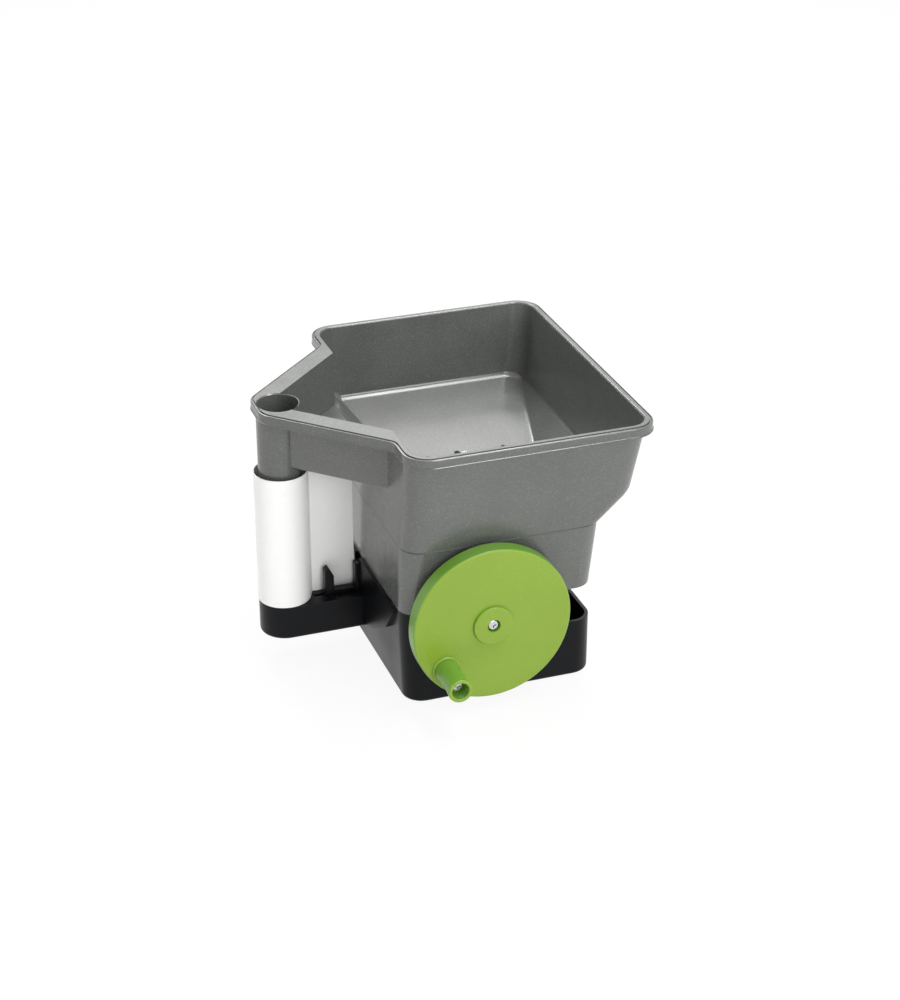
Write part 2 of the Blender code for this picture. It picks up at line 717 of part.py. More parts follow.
def base_housing():
    """Tray, arm, raised panel for the crank, rotor pillar and screw posts: one black moulding."""
    shell = loft(
        "base_housing",
        [
            (0.0, box_outline(BASE_REAR, BASE_FRONT, BASE_HALF_WIDTH, BASE_CORNER)),
            (
                BASE_TOP,
                box_outline(
                    BASE_REAR - BASE_REAR_DRAFT, BASE_FRONT, BASE_HALF_WIDTH + BASE_DRAFT, BASE_CORNER
                ),
            ),
        ],
    )
    arm_corners = [
        (HANDLE_X - ARM_HALF_WIDTH, -ARM_HALF_WIDTH),
        (BASE_REAR + BASE_WALL, -ARM_HALF_WIDTH),
        (BASE_REAR + BASE_WALL, ARM_HALF_WIDTH),
        (HANDLE_X - ARM_HALF_WIDTH, ARM_HALF_WIDTH),
    ]
    end = ARM_HALF_WIDTH - 0.1 * mm
    arm = prism("arm", rounded(arm_corners, [end, 0, 0, end], 2 * ARC_STEPS), ARM_BOTTOM, TRAY_TOP)
    wide = BASE_HALF_WIDTH - BASE_CORNER
    half_view = [
        (ARM_HALF_WIDTH - BASE_WALL, ARM_BOTTOM + BASE_WALL),
        (ARM_HALF_WIDTH * 1.4, ARM_BOTTOM + BASE_WALL * 2),
        (wide * 0.5, ARM_BOTTOM + BASE_WALL * 5),
        (wide * 0.8, TRAY_TOP + BASE_WALL),
        (wide * 0.98, BASE_TOP - BASE_WALL * 2),
        (wide, BASE_TOP),
    ]
    flare_view = [(-y, z) for y, z in half_view] + half_view[::-1]
    flare = stood_up(prism("flare", flare_view, FLARE_REAR, BASE_REAR + BASE_WALL / 2))
    join(shell, arm, flare)
    room = loft(
        "room",
        [
            (
                BASE_FLOOR,
                box_outline(
                    BASE_REAR + BASE_WALL,
                    BASE_FRONT - BASE_WALL,
                    BASE_HALF_WIDTH - BASE_WALL,
                    BASE_CORNER - BASE_WALL,
                ),
            ),
            (
                BASE_TOP + BASE_WALL,
                box_outline(
                    BASE_REAR - BASE_REAR_DRAFT + BASE_WALL,
                    BASE_FRONT - BASE_WALL,
                    BASE_HALF_WIDTH + BASE_DRAFT - BASE_WALL,
                    BASE_CORNER - BASE_WALL,
                ),
            ),
        ],
    )
    arm_room_corners = [
        (HANDLE_X - ARM_HALF_WIDTH + BASE_WALL, -ARM_HALF_WIDTH + BASE_WALL),
        (BASE_REAR - BASE_REAR_DRAFT - BASE_WALL, -ARM_HALF_WIDTH + BASE_WALL),
        (BASE_REAR - BASE_REAR_DRAFT - BASE_WALL, ARM_HALF_WIDTH - BASE_WALL),
        (HANDLE_X - ARM_HALF_WIDTH + BASE_WALL, ARM_HALF_WIDTH - BASE_WALL),
    ]
    round_end = end - BASE_WALL
    arm_room = prism(
        "arm_room",
        rounded(arm_room_corners, [round_end, 0, 0, round_end], 2 * ARC_STEPS),
        ARM_BOTTOM - BASE_WALL,
        ARM_UNDERSIDE,
    )
    throw_slot = block(
        "throw_slot",
        THROW_SLOT_REAR,
        BASE_FRONT + BASE_CORNER,
        -BASE_HALF_WIDTH - BASE_CORNER,
        BASE_HALF_WIDTH + BASE_CORNER,
        TRAY_TOP,
        BASE_TOP + BASE_WALL,
    )
    cut(shell, room, arm_room, throw_slot)

    notch_foot = GATE_BOTTOM - 2 * GAP
    rear_notch = block(
        "rear_notch",
        FLARE_REAR - BASE_WALL,
        BASE_REAR + 2 * BASE_WALL,
        SLIDE_NEAR_SIDE - 2 * GAP,
        TAIL_FAR_SIDE + 2 * GAP,
        notch_foot,
        BASE_TOP + BASE_WALL,
    )
    slide_gap = block(
        "slide_gap",
        FLARE_REAR - BASE_WALL,
        STOP_POST_FRONT + GAP,
        SLIDE_NEAR_SIDE - 2 * GAP,
        SLIDE_FAR_SIDE + 2 * GAP,
        TRAY_TOP,
        notch_foot + BASE_WALL,
    )
    cut(shell, rear_notch, slide_gap)

    panel = block(
        "panel",
        PANEL_REAR,
        PANEL_FRONT,
        PANEL_OUTSIDE_Y,
        PANEL_INSIDE_Y,
        BASE_TOP - BASE_WALL,
        PANEL_TOP,
    )
    boss_inner_y = (PANEL_OUTSIDE_Y + PANEL_INSIDE_Y) / 2
    axle_boss = rod(
        "axle_boss",
        AXLE_BOSS_RADIUS,
        (0, boss_inner_y, CRANK_HEIGHT),
        (0, -1, 0),
        boss_inner_y - AXLE_BOSS_END_Y,
        ROUND_STEPS,
    )
    spigot_foot = (HANDLE_X, 0, TRAY_TOP - GAP)
    spigot = rod("spigot", SPIGOT_RADIUS, spigot_foot, UP, SPIGOT_HEIGHT + GAP, ROUND_STEPS)
    pillar_foot = (SHAFT_X, 0, BASE_FLOOR / 2)
    pillar = rod("pillar", PILLAR_RADIUS, pillar_foot, UP, PILLAR_TOP - BASE_FLOOR / 2)
    rib_top = PILLAR_TOP * 0.7
    ribs = [
        block(
            "rib_x",
            SHAFT_X - PILLAR_RIB_REACH,
            SHAFT_X + PILLAR_RIB_REACH,
            -WALL / 2,
            WALL / 2,
            BASE_FLOOR / 2,
            rib_top,
        ),
        block(
            "rib_y",
            SHAFT_X - WALL / 2,
            SHAFT_X + WALL / 2,
            -PILLAR_RIB_REACH,
            PILLAR_RIB_REACH,
            BASE_FLOOR / 2,
            rib_top,
        ),
    ]
    join(shell, panel, axle_boss, spigot, ribs[0], ribs[1], pillar)
    posts = []
    holes = []
    for x, y in POST_PLACES:
        for side in (-1, 1):
            place = (x, side * y, BASE_FLOOR / 2)
            posts.append(rod("post", POST_RADIUS + WALL / 4, place, UP, BASE_TOP - BASE_FLOOR / 2))
            below = (x, side * y, -WALL)
            holes.append(rod("seat", SCREW_HEAD_RADIUS + GAP, below, UP, SCREW_SEAT + WALL))
            holes.append(rod("hole", SCREW_RADIUS + GAP, below, UP, BASE_TOP + 3 * WALL))
    join(shell, *posts)
    cut(shell, *holes)

    bush_hole = rod(
        "bush_hole",
        BUSH_RADIUS + GAP,
        (SHAFT_X, PANEL_OUTSIDE_Y - BASE_WALL, CRANK_HEIGHT),
        (0, 1, 0),
        3 * BASE_WALL,
        ROUND_STEPS,
    )
    thread_place = (0, AXLE_BOSS_END_Y - WALL, CRANK_HEIGHT)
    thread_length = AXLE_BITE + 3 * WALL
    thread_hole = rod("thread_hole", SCREW_RADIUS + GAP, thread_place, (0, 1, 0), thread_length)
    pillar_hole = rod(
        "pillar_hole",
        BUSH_RADIUS + GAP,
        (SHAFT_X, 0, SPINDLE_BOTTOM - 2 * GAP),
        UP,
        PILLAR_TOP - SPINDLE_BOTTOM + WALL,
        ROUND_STEPS,
    )
    arm_hole_foot = (HANDLE_X, 0, ARM_UNDERSIDE - WALL)
    arm_hole = rod("arm_hole", SCREW_RADIUS + GAP, arm_hole_foot, UP, 10 * WALL)
    tongue_middle = (SLIDE_NEAR_SIDE + SLIDE_FAR_SIDE) / 2
    tongue_slot = block(
        "tongue_slot",
        POST_REAR - SLIDE_TRAVEL - GAP,
        POST_REAR + TONGUE_LENGTH + GAP,
        tongue_middle - TONGUE_THICKNESS / 2 - GAP,
        tongue_middle + TONGUE_THICKNESS / 2 + GAP,
        ARM_UNDERSIDE - WALL,
        TRAY_TOP + WALL,
    )
    cut(shell, bush_hole, thread_hole, pillar_hole, arm_hole, tongue_slot)
    pip_y = SLIDE_NEAR_SIDE - 2.5 * mm
    for k in range(3):
        pip_x = POST_REAR + SLIDE_TRAVEL * k / 2
        join(shell, rod("pip", PIP_RADIUS, (pip_x, pip_y, TRAY_TOP - GAP), UP, PIP_HEIGHT + GAP, 8))
    finish(shell, BLACK, 0.35)


def tooth_outline(count, tip, pitch, root, fill, phase):
    """An outline of plain teeth. fill is a tooth's share of the pitch at the pitch circle."""
    outline = []
    step = 2 * math.pi / count
    for k in range(count):
        middle = phase + k * step
        flank = step * fill / 2
        tip_half = flank * 0.58
        root_half = flank * 1.42
        for angle, radius in (
            (middle - root_half, root),
            (middle - tip_half, tip),
            (middle + tip_half, tip),
            (middle + root_half, root),
        ):
            outline.append(Vector((radius * math.cos(angle), radius * math.sin(angle))))
    return outline


def along_y(x, y, z):
    """Turns a shape that was built upright so that its height runs towards -Y from y."""
    lay_down = Matrix(((1, 0, 0, x), (0, 0, -1, y), (0, 1, 0, z), (0, 0, 0, 1)))
    return lay_down


def d_section(grow):
    """A round section with one flat, for shafts and what they drive."""
    flat = SHAFT_RADIUS - SHAFT_FLAT + grow
    radius = SHAFT_RADIUS + grow
    start = math.acos(flat / radius)
    steps = BORE_STEPS - 2
    sweep = 2 * math.pi - 2 * start
    return [
        Vector((radius * math.cos(start + sweep * k / steps), radius * math.sin(start + sweep * k / steps)))
        for k in range(steps + 1)
    ]


def d_bore(low, high):
    """A cutter for a hole that fits a shaft's section."""
    return prism("d_bore", d_section(GAP), low - WALL, high + WALL)


def crank_wheel():
    """Green wheel with inner gear teeth, a hub and a seat for the knob's screw."""
    inside = WHEEL_DEPTH - WHEEL_FACE
    seat = WHEEL_DEPTH + HUB_RING_HEIGHT - SCREW_HEAD - GAP
    ring_tip = RING_PITCH - ADDENDUM
    ring_back = RING_PITCH + DEDENDUM + RING_WALL
    bore = AXLE_RADIUS + GAP
    soft = 1.5 * mm
    profile = [
        (bore, 0.0),
        (HUB_RADIUS, 0.0),
        (HUB_RADIUS, inside),
        (ring_tip, inside),
        (ring_tip, soft / 3),
        (ring_back, soft / 3),
        (ring_back, inside),
        (WHEEL_RADIUS - WHEEL_RIM, inside),
        (WHEEL_RADIUS - WHEEL_RIM, 0.0),
        (WHEEL_RADIUS - soft / 2, 0.0),
        (WHEEL_RADIUS, soft / 2),
        (WHEEL_RADIUS, WHEEL_DEPTH - soft),
        (WHEEL_RADIUS - soft * 0.3, WHEEL_DEPTH - soft * 0.3),
        (WHEEL_RADIUS - soft, WHEEL_DEPTH),
        (HUB_RING_RADIUS, WHEEL_DEPTH),
        (HUB_RING_RADIUS - HUB_RING_HEIGHT / 2, WHEEL_DEPTH + HUB_RING_HEIGHT),
        (SCREW_HEAD_RADIUS + 2 * GAP, WHEEL_DEPTH + HUB_RING_HEIGHT),
        (SCREW_HEAD_RADIUS + 2 * GAP, seat),
        (bore, seat),
    ]
    wheel = turned("crank_wheel", profile, (0, 0, 0), UP, 2 * ROUND_STEPS, hollow=True)
    spaces = tooth_outline(
        RING_TEETH, RING_PITCH + DEDENDUM, RING_PITCH, ring_tip - ADDENDUM, 0.56, 0.0
    )
    knob_place = Matrix.Rotation(math.radians(KNOB_ANGLE), 4, "Z") @ Vector((KNOB_ARM, 0, 0))
    knob_boss_foot = (knob_place.x, knob_place.y, soft)
    knob_boss = rod("knob_boss", POST_RADIUS - WALL / 4, knob_boss_foot, UP, inside)
    collar = turned(
        "collar",
        [
            (0, inside),
            (KNOB_RADIUS + soft, inside),
            (KNOB_RADIUS + soft, WHEEL_DEPTH + KNOB_COLLAR_HEIGHT / 2),
            (KNOB_RADIUS, WHEEL_DEPTH + KNOB_COLLAR_HEIGHT),
            (0, WHEEL_DEPTH + KNOB_COLLAR_HEIGHT),
        ],
        (knob_place.x, knob_place.y, 0),
        UP,
    )
    join(wheel, knob_boss, collar)
    cutter = prism("spaces", spaces, -WALL, inside - 2 * GAP)
    cut(cutter, rod("core", ring_tip - GAP, (0, 0, -2 * WALL), UP, inside + 3 * WALL, 2 * ROUND_STEPS))
    thread = rod(
        "thread",
        SCREW_RADIUS + GAP,
        (knob_place.x, knob_place.y, 2 * soft),
        UP,
        WHEEL_DEPTH + KNOB_COLLAR_HEIGHT,
    )
    cut(wheel, cutter, thread)
    turn_piece(wheel, along_y(0, WHEEL_BACK_Y, CRANK_HEIGHT))
    return finish(wheel, GREEN, 0.38, origin=(0, WHEEL_BACK_Y, CRANK_HEIGHT))


def cross_cutter(place, axis, depth, reach):
    """Two crossing slots for a screwdriver, cut into a head from place along axis."""
    turn = Vector((0, 0, 1)).rotation_difference(Vector(axis)).to_matrix().to_4x4()
    move = Matrix.Translation(place) @ turn
    long_way = block("slot", -reach, reach, -CROSS_WIDTH / 2, CROSS_WIDTH / 2, -WALL, depth)
    cross_way = block("slot", -CROSS_WIDTH / 2, CROSS_WIDTH / 2, -reach, reach, -WALL, depth)
    join(long_way, cross_way)
    return turn_piece(long_way, move)


def screw(name, place, axis, head_radius, head, shoulder, thread):
    """A cross-head screw. place is the head's outer face, axis points into the work."""
    profile = [(0, 0), (head_radius * 0.8, 0), (head_radius, head * 0.35), (head_radius, head)]
    reach = head
    for radius, length in (shoulder, thread):
        if length > 0:
            profile += [(radius, reach), (radius, reach + length)]
            reach += length
    profile += [(0, reach)]
    piece = turned(name, profile, place, axis, BORE_STEPS)
    cut(piece, cross_cutter(place, axis, CROSS_DEPTH, head_radius * 0.6))
    return finish(piece, STEEL, 0.28, 1.0)


def wheel_fixings():
    """Shoulder screw and thrust washer that hold the crank wheel to the base."""
    seat = WHEEL_FRONT_Y - HUB_RING_HEIGHT + SCREW_HEAD + GAP
    head_face = seat - SCREW_HEAD - GAP
    shoulder_length = AXLE_BOSS_END_Y - seat
    screw(
        "wheel_screw",
        (0, head_face, CRANK_HEIGHT),
        (0, 1, 0),
        SCREW_HEAD_RADIUS,
        SCREW_HEAD,
        (AXLE_RADIUS, shoulder_length),
        (SCREW_RADIUS, AXLE_BITE),
    )
    washer = tube(
        "wheel_washer",
        AXLE_RADIUS + GAP,
        HUB_RADIUS,
        (0, WHEEL_BACK_Y + GAP, CRANK_HEIGHT),
        (0, 1, 0),
        WHEEL_WASHER,
    )
    finish(washer, STEEL, 0.3, 1.0)


def knob():
    """Hollow green sleeve that turns on its own shoulder screw."""
    bore = AXLE_RADIUS + GAP
    length = KNOB_LENGTH
    hollow = length - KNOB_HOLLOW_DEPTH
    profile = [
        (bore, 0.0),
        (KNOB_RADIUS - 0.6 * mm, 0.0),
        (KNOB_RADIUS, 0.8 * mm),
        (KNOB_RADIUS - 0.4 * mm, length / 2),
        (KNOB_RADIUS, length - 1.6 * mm),
        (KNOB_RADIUS - 0.5 * mm, length - 0.4 * mm),
        (KNOB_RADIUS - 1.2 * mm, length),
        (KNOB_HOLLOW + 0.4 * mm, length),
        (KNOB_HOLLOW, length - 0.6 * mm),
        (KNOB_HOLLOW, hollow),
        (bore, hollow),
    ]
    place = (KNOB_X, KNOB_BASE_Y, KNOB_Z)
    sleeve = turned("knob_sleeve", profile, place, (0, -1, 0), ROUND_STEPS, hollow=True)
    finish(sleeve, GREEN, 0.38, origin=place)
    head_face = KNOB_BASE_Y - hollow - GAP - SCREW_HEAD
    screw(
        "knob_screw",
        (KNOB_X, head_face, KNOB_Z),
        (0, 1, 0),
        SCREW_HEAD_RADIUS + GAP,
        SCREW_HEAD,
        (AXLE_RADIUS, hollow + GAP),
        (SCREW_RADIUS, WHEEL_DEPTH - WALL),
    )


def pinion():
    """Small gear on the end of the cross shaft, in mesh with the wheel's inner teeth."""
    outline = tooth_outline(
        PINION_TEETH, PINION_PITCH + ADDENDUM, PINION_PITCH, PINION_PITCH - DEDENDUM, 0.46, 0.0
    )
    front = WHEEL_INSIDE_Y + 2 * GAP
    gear = prism("pinion", outline, 0.0, PINION_WIDTH)
    hub_length = 3.6 * mm
    hub = rod("hub", BEVEL_HUB_RADIUS, (0, 0, -hub_length), UP, hub_length + WALL)
    join(gear, hub)
    cut(gear, d_bore(-hub_length, PINION_WIDTH))
    turn_piece(gear, along_y(SHAFT_X, front + PINION_WIDTH, CRANK_HEIGHT))
    finish(gear, NYLON, 0.45, origin=(SHAFT_X, front + PINION_WIDTH, CRANK_HEIGHT))


def bevel(name, phase):
    """A 45 degree gear, built upright with its apex at the origin and its hub above."""
    large = tooth_outline(
        BEVEL_TEETH, BEVEL_RADIUS + BEVEL_TIP, BEVEL_RADIUS, BEVEL_RADIUS - BEVEL_ROOT, 0.44, phase
    )
    scale = 1 - BEVEL_FACE
    small = [p * scale for p in large]
    gear = loft(name, [(BEVEL_RADIUS * scale, small), (BEVEL_RADIUS, large)])
    hub_foot = BEVEL_RADIUS - WALL / 2
    hub = rod("hub", BEVEL_HUB_RADIUS, (0, 0, hub_foot), UP, BEVEL_HUB_END - hub_foot)
    join(gear, hub)
    return cut(gear, d_bore(BEVEL_RADIUS * scale, BEVEL_HUB_END))


def flanged_bush(name, place, axis, length):
    """A nylon bush whose flange starts at place."""
    profile = [
        (BUSH_BORE, 0.0),
        (BUSH_RADIUS + FLANGE_WIDTH, 0.0),
        (BUSH_RADIUS + FLANGE_WIDTH, FLANGE_THICKNESS),
        (BUSH_RADIUS, FLANGE_THICKNESS),
        (BUSH_RADIUS, FLANGE_THICKNESS + length),
        (BUSH_BORE, FLANGE_THICKNESS + length),
    ]
    return finish(turned(name, profile, place, axis, BORE_STEPS, hollow=True), NYLON, 0.45)


def drive_train():
    """Cross shaft and upright spindle with their gears, bushes and lock washers."""
    shaft_front = WHEEL_INSIDE_Y + 2 * GAP
    shaft_length = -shaft_front - BEVEL_RADIUS * (1 - BEVEL_FACE)
    shaft = prism("cross_shaft", d_section(0.0), 0.0, shaft_length)
    turn_piece(shaft, along_y(SHAFT_X, shaft_front + shaft_length, CRANK_HEIGHT))
    finish(shaft, STEEL, 0.28, 1.0, origin=(SHAFT_X, shaft_front + shaft_length, CRANK_HEIGHT))

    tooth_at_top = math.pi / 2
    drive = bevel("drive_bevel", tooth_at_top)
    turn_piece(drive, along_y(SHAFT_X, 0, CRANK_HEIGHT))
    finish(drive, NYLON, 0.45, origin=(SHAFT_X, 0, CRANK_HEIGHT))
    half_tooth = math.pi / BEVEL_TEETH
    driven = bevel("spindle_bevel", -math.pi / 2 + half_tooth)
    turn_piece(driven, Matrix.Translation((SHAFT_X, 0, CRANK_HEIGHT)))
    finish(driven, NYLON, 0.45, origin=(SHAFT_X, 0, CRANK_HEIGHT))

    bush_front = PANEL_OUTSIDE_Y - GAP - FLANGE_THICKNESS
    flanged_bush("panel_bush", (SHAFT_X, bush_front, CRANK_HEIGHT), (0, 1, 0), BASE_WALL + 2 * GAP)
    flanged_bush(
        "bridge_bush",
        (SHAFT_X, BRIDGE_WEB_Y + GAP + FLANGE_THICKNESS, CRANK_HEIGHT),
        (0, -1, 0),
        BRIDGE_WEB + 2 * GAP,
    )
    shelf_place = (SHAFT_X, 0, SHELF_HEIGHT - GAP - FLANGE_THICKNESS)
    flanged_bush("shelf_bush", shelf_place, UP, BRIDGE_PLATE + 2 * GAP)
    foot_place = (SHAFT_X, 0, PILLAR_TOP + GAP + FLANGE_THICKNESS)
    flanged_bush("foot_bush", foot_place, (0, 0, -1), PILLAR_TOP - SPINDLE_BOTTOM)

    spindle_top = AGITATOR_TOP + GAP + CAP_NUT_HEIGHT - WALL / 2 - GAP
    spindle = prism("spindle", d_section(0.0), SPINDLE_BOTTOM + GAP, spindle_top)
    turn_piece(spindle, Matrix.Translation((SHAFT_X, 0, 0)))
    finish(spindle, STEEL, 0.28, 1.0, origin=(SHAFT_X, 0, CRANK_HEIGHT))

    inner = SHAFT_RADIUS + GAP
    outer = SHAFT_RADIUS + FLANGE_WIDTH
    low_place = (SHAFT_X, PANEL_INSIDE_Y + 3 * GAP, CRANK_HEIGHT)
    shaft_lock = tube("shaft_lock_washer", inner, outer, low_place, (0, 1, 0), LOCK_WASHER_THICKNESS)
    finish(shaft_lock, STEEL, 0.3, 1.0, origin=low_place)
    high_place = (SHAFT_X, 0, SHELF_HEIGHT + BRIDGE_PLATE + 3 * GAP)
    spindle_lock = tube("spindle_lock_washer", inner, outer, high_place, UP, LOCK_WASHER_THICKNESS)
    finish(spindle_lock, STEEL, 0.3, 1.0, origin=high_place)


def rotor():
    """Spinning disc with upright fins that throw the seed forward."""
    hub_top = ROTOR_TOP + FIN_HEIGHT
    place = (SHAFT_X, 0, ROTOR_BOTTOM)
    profile = [
        (0, 0),
        (ROTOR_RADIUS - 0.6 * mm, 0),
        (ROTOR_RADIUS, ROTOR_DISC / 2),
        (ROTOR_RADIUS - 0.6 * mm, ROTOR_DISC),
        (ROTOR_HUB_RADIUS + WALL, ROTOR_DISC),
        (ROTOR_HUB_RADIUS, ROTOR_DISC + WALL),
        (ROTOR_HUB_RADIUS, hub_top - ROTOR_BOTTOM),
        (0, hub_top - ROTOR_BOTTOM),
    ]
    disc = turned("rotor", profile, (0, 0, ROTOR_BOTTOM), UP, ROUND_STEPS + 12)
    bend = math.radians(18)
    for k in range(ROTOR_FINS):
        start = ROTOR_HUB_RADIUS - WALL
        end = ROTOR_RADIUS - WALL
        steps = 4
        left = []
        right = []
        for i in range(steps + 1):
            share = i / steps
            radius = start + (end - start) * share
            angle = 2 * math.pi * k / ROTOR_FINS - bend * share * share
            middle = Vector((radius * math.cos(angle), radius * math.sin(angle)))
            across = Vector((-math.sin(angle), math.cos(angle))) * FIN_THICKNESS / 2
            left.append(middle + across)
            right.append(middle - across)
        outline = right + left[::-1]
        low = [(ROTOR_BOTTOM + ROTOR_DISC / 2, outline), (ROTOR_TOP + FIN_HEIGHT - WALL / 2, outline)]
        join(disc, loft("fin", low))
    cut(disc, d_bore(ROTOR_BOTTOM, hub_top))
    turn_piece(disc, Matrix.Translation((SHAFT_X, 0, 0)))
    finish(disc, BLACK, 0.4, origin=place)


def agitator():
    """Stirrer in the sump, on top of the spindle, with the cap nut that holds it."""
    hub = rod("agitator", AGITATOR_HUB_RADIUS, (0, 0, AGITATOR_BOTTOM), UP, AGITATOR_HUB_HEIGHT)
    arm_low = AGITATOR_BOTTOM + AGITATOR_ARM
    for reach, turn in ((AGITATOR_RADIUS, 0.0), (AGITATOR_RADIUS * 0.62, math.pi / 2)):
        half = AGITATOR_ARM / 2
        bar = block("bar", -reach, reach, -half, half, arm_low, arm_low + AGITATOR_ARM)
        join(hub, turn_piece(bar, Matrix.Rotation(turn, 4, "Z")))
    for side in (-1, 1):
        finger_x = side * (AGITATOR_RADIUS - AGITATOR_ARM / 2 - GAP)
        finger_foot = (finger_x, 0, arm_low + GAP)
        finger = rod("finger", AGITATOR_ARM / 2 - GAP, finger_foot, UP, FINGER_HEIGHT, FINE_STEPS)
        join(hub, finger)
    cut(hub, d_bore(AGITATOR_BOTTOM, AGITATOR_TOP))
    turn_piece(hub, Matrix.Translation((SHAFT_X, 0, 0)))
    finish(hub, BLACK, 0.4, origin=(SHAFT_X, 0, AGITATOR_BOTTOM))

    place = (SHAFT_X, 0, AGITATOR_TOP + GAP)
    nut_radius = SHAFT_RADIUS + WALL
    profile = [
        (0, 0),
        (nut_radius, 0),
        (nut_radius, CAP_NUT_HEIGHT * 0.6),
        (nut_radius * 0.6, CAP_NUT_HEIGHT),
        (0, CAP_NUT_HEIGHT),
    ]
    nut = turned("cap_nut", profile, place, UP, NUT_SIDES)
    seat_depth = CAP_NUT_HEIGHT + GAP + WALL / 2
    cut(nut, rod("seat", SHAFT_RADIUS + GAP, (SHAFT_X, 0, AGITATOR_TOP - WALL), UP, seat_depth))
    finish(nut, STEEL, 0.3, 1.0, origin=place, smooth=20.0)


def gear_bridge():
    """Black bracket under the bin's floor that carries the inner ends of both shafts."""
    low = CRANK_HEIGHT - BUSH_RADIUS - WALL
    rear = SHAFT_X - BRIDGE_HALF_LENGTH
    front = SHAFT_X + BRIDGE_HALF_LENGTH
    web_back = BRIDGE_WEB_Y - BRIDGE_WEB
    plate_front = BRIDGE_SCREW_X + POST_RADIUS
    plate_side = BRIDGE_SCREW_Y + POST_RADIUS
    plate_low = BRIDGE_TOP - BRIDGE_PLATE
    plate = block("gear_bridge", rear, plate_front, web_back, plate_side, plate_low, BRIDGE_TOP)
    web = block("web", rear, front, web_back, BRIDGE_WEB_Y, low, BRIDGE_TOP - BRIDGE_PLATE / 2)
    shelf = block(
        "shelf", rear, front, web_back + GAP, BRIDGE_HALF_LENGTH, SHELF_HEIGHT, SHELF_HEIGHT + BRIDGE_PLATE
    )
    gusset_x = front - BRIDGE_PLATE
    gusset_side = BRIDGE_HALF_LENGTH - WALL
    gusset_low = SHELF_HEIGHT + WALL
    gusset = block(
        "gusset", gusset_x, front, web_back + WALL, gusset_side, gusset_low, BRIDGE_TOP - WALL
    )
    join(plate, web, shelf, gusset)
    through = BRIDGE_PLATE + 2 * WALL
    web_place = (SHAFT_X, web_back - WALL, CRANK_HEIGHT)
    web_hole = rod("hole", BUSH_RADIUS + GAP, web_place, (0, 1, 0), BRIDGE_WEB + 2 * WALL, ROUND_STEPS)
    shelf_hole = rod("hole", BUSH_RADIUS + GAP, (SHAFT_X, 0, SHELF_HEIGHT - WALL), UP, through, ROUND_STEPS)
    plate_hole = rod("hole", BUSH_RADIUS, (SHAFT_X, 0, plate_low - WALL), UP, through, ROUND_STEPS)
    cut(plate, web_hole, shelf_hole, plate_hole)
    for side in (-1, 1):
        place = (BRIDGE_SCREW_X, side * BRIDGE_SCREW_Y, plate_low - WALL)
        cut(plate, rod("hole", SMALL_RADIUS + GAP, place, UP, through))
    finish(plate, BLACK, 0.4)


def fixing_screws():
    """Four base screws, two bridge screws and the screw under the handle."""
    none = (0.0, 0.0)
    spots = [(x, side * y) for x, y in POST_PLACES for side in (-1, 1)]
    for number, (x, y) in enumerate(spots, 1):
        place = (x, y, SCREW_SEAT - GAP - SCREW_HEAD)
        shank = (SCREW_RADIUS, BASE_TOP - SCREW_SEAT + SCREW_BITE)
        screw(f"base_screw_{number}", place, UP, SCREW_HEAD_RADIUS, SCREW_HEAD, none, shank)
    for number, side in enumerate((-1, 1), 1):
        place = (BRIDGE_SCREW_X, side * BRIDGE_SCREW_Y, BRIDGE_TOP - BRIDGE_PLATE - GAP - SMALL_HEAD)
        shank = (SMALL_RADIUS, BRIDGE_PLATE + SMALL_BITE)
        screw(f"bridge_screw_{number}", place, UP, SMALL_HEAD_RADIUS, SMALL_HEAD, none, shank)
    place = (HANDLE_X, 0, ARM_UNDERSIDE - GAP - SCREW_HEAD)
    shank = (SCREW_RADIUS, ARM_DECK + SPIGOT_HEIGHT + TUBE_WEB)
    screw("handle_screw", place, UP, SCREW_HEAD_RADIUS, SCREW_HEAD, none, shank)


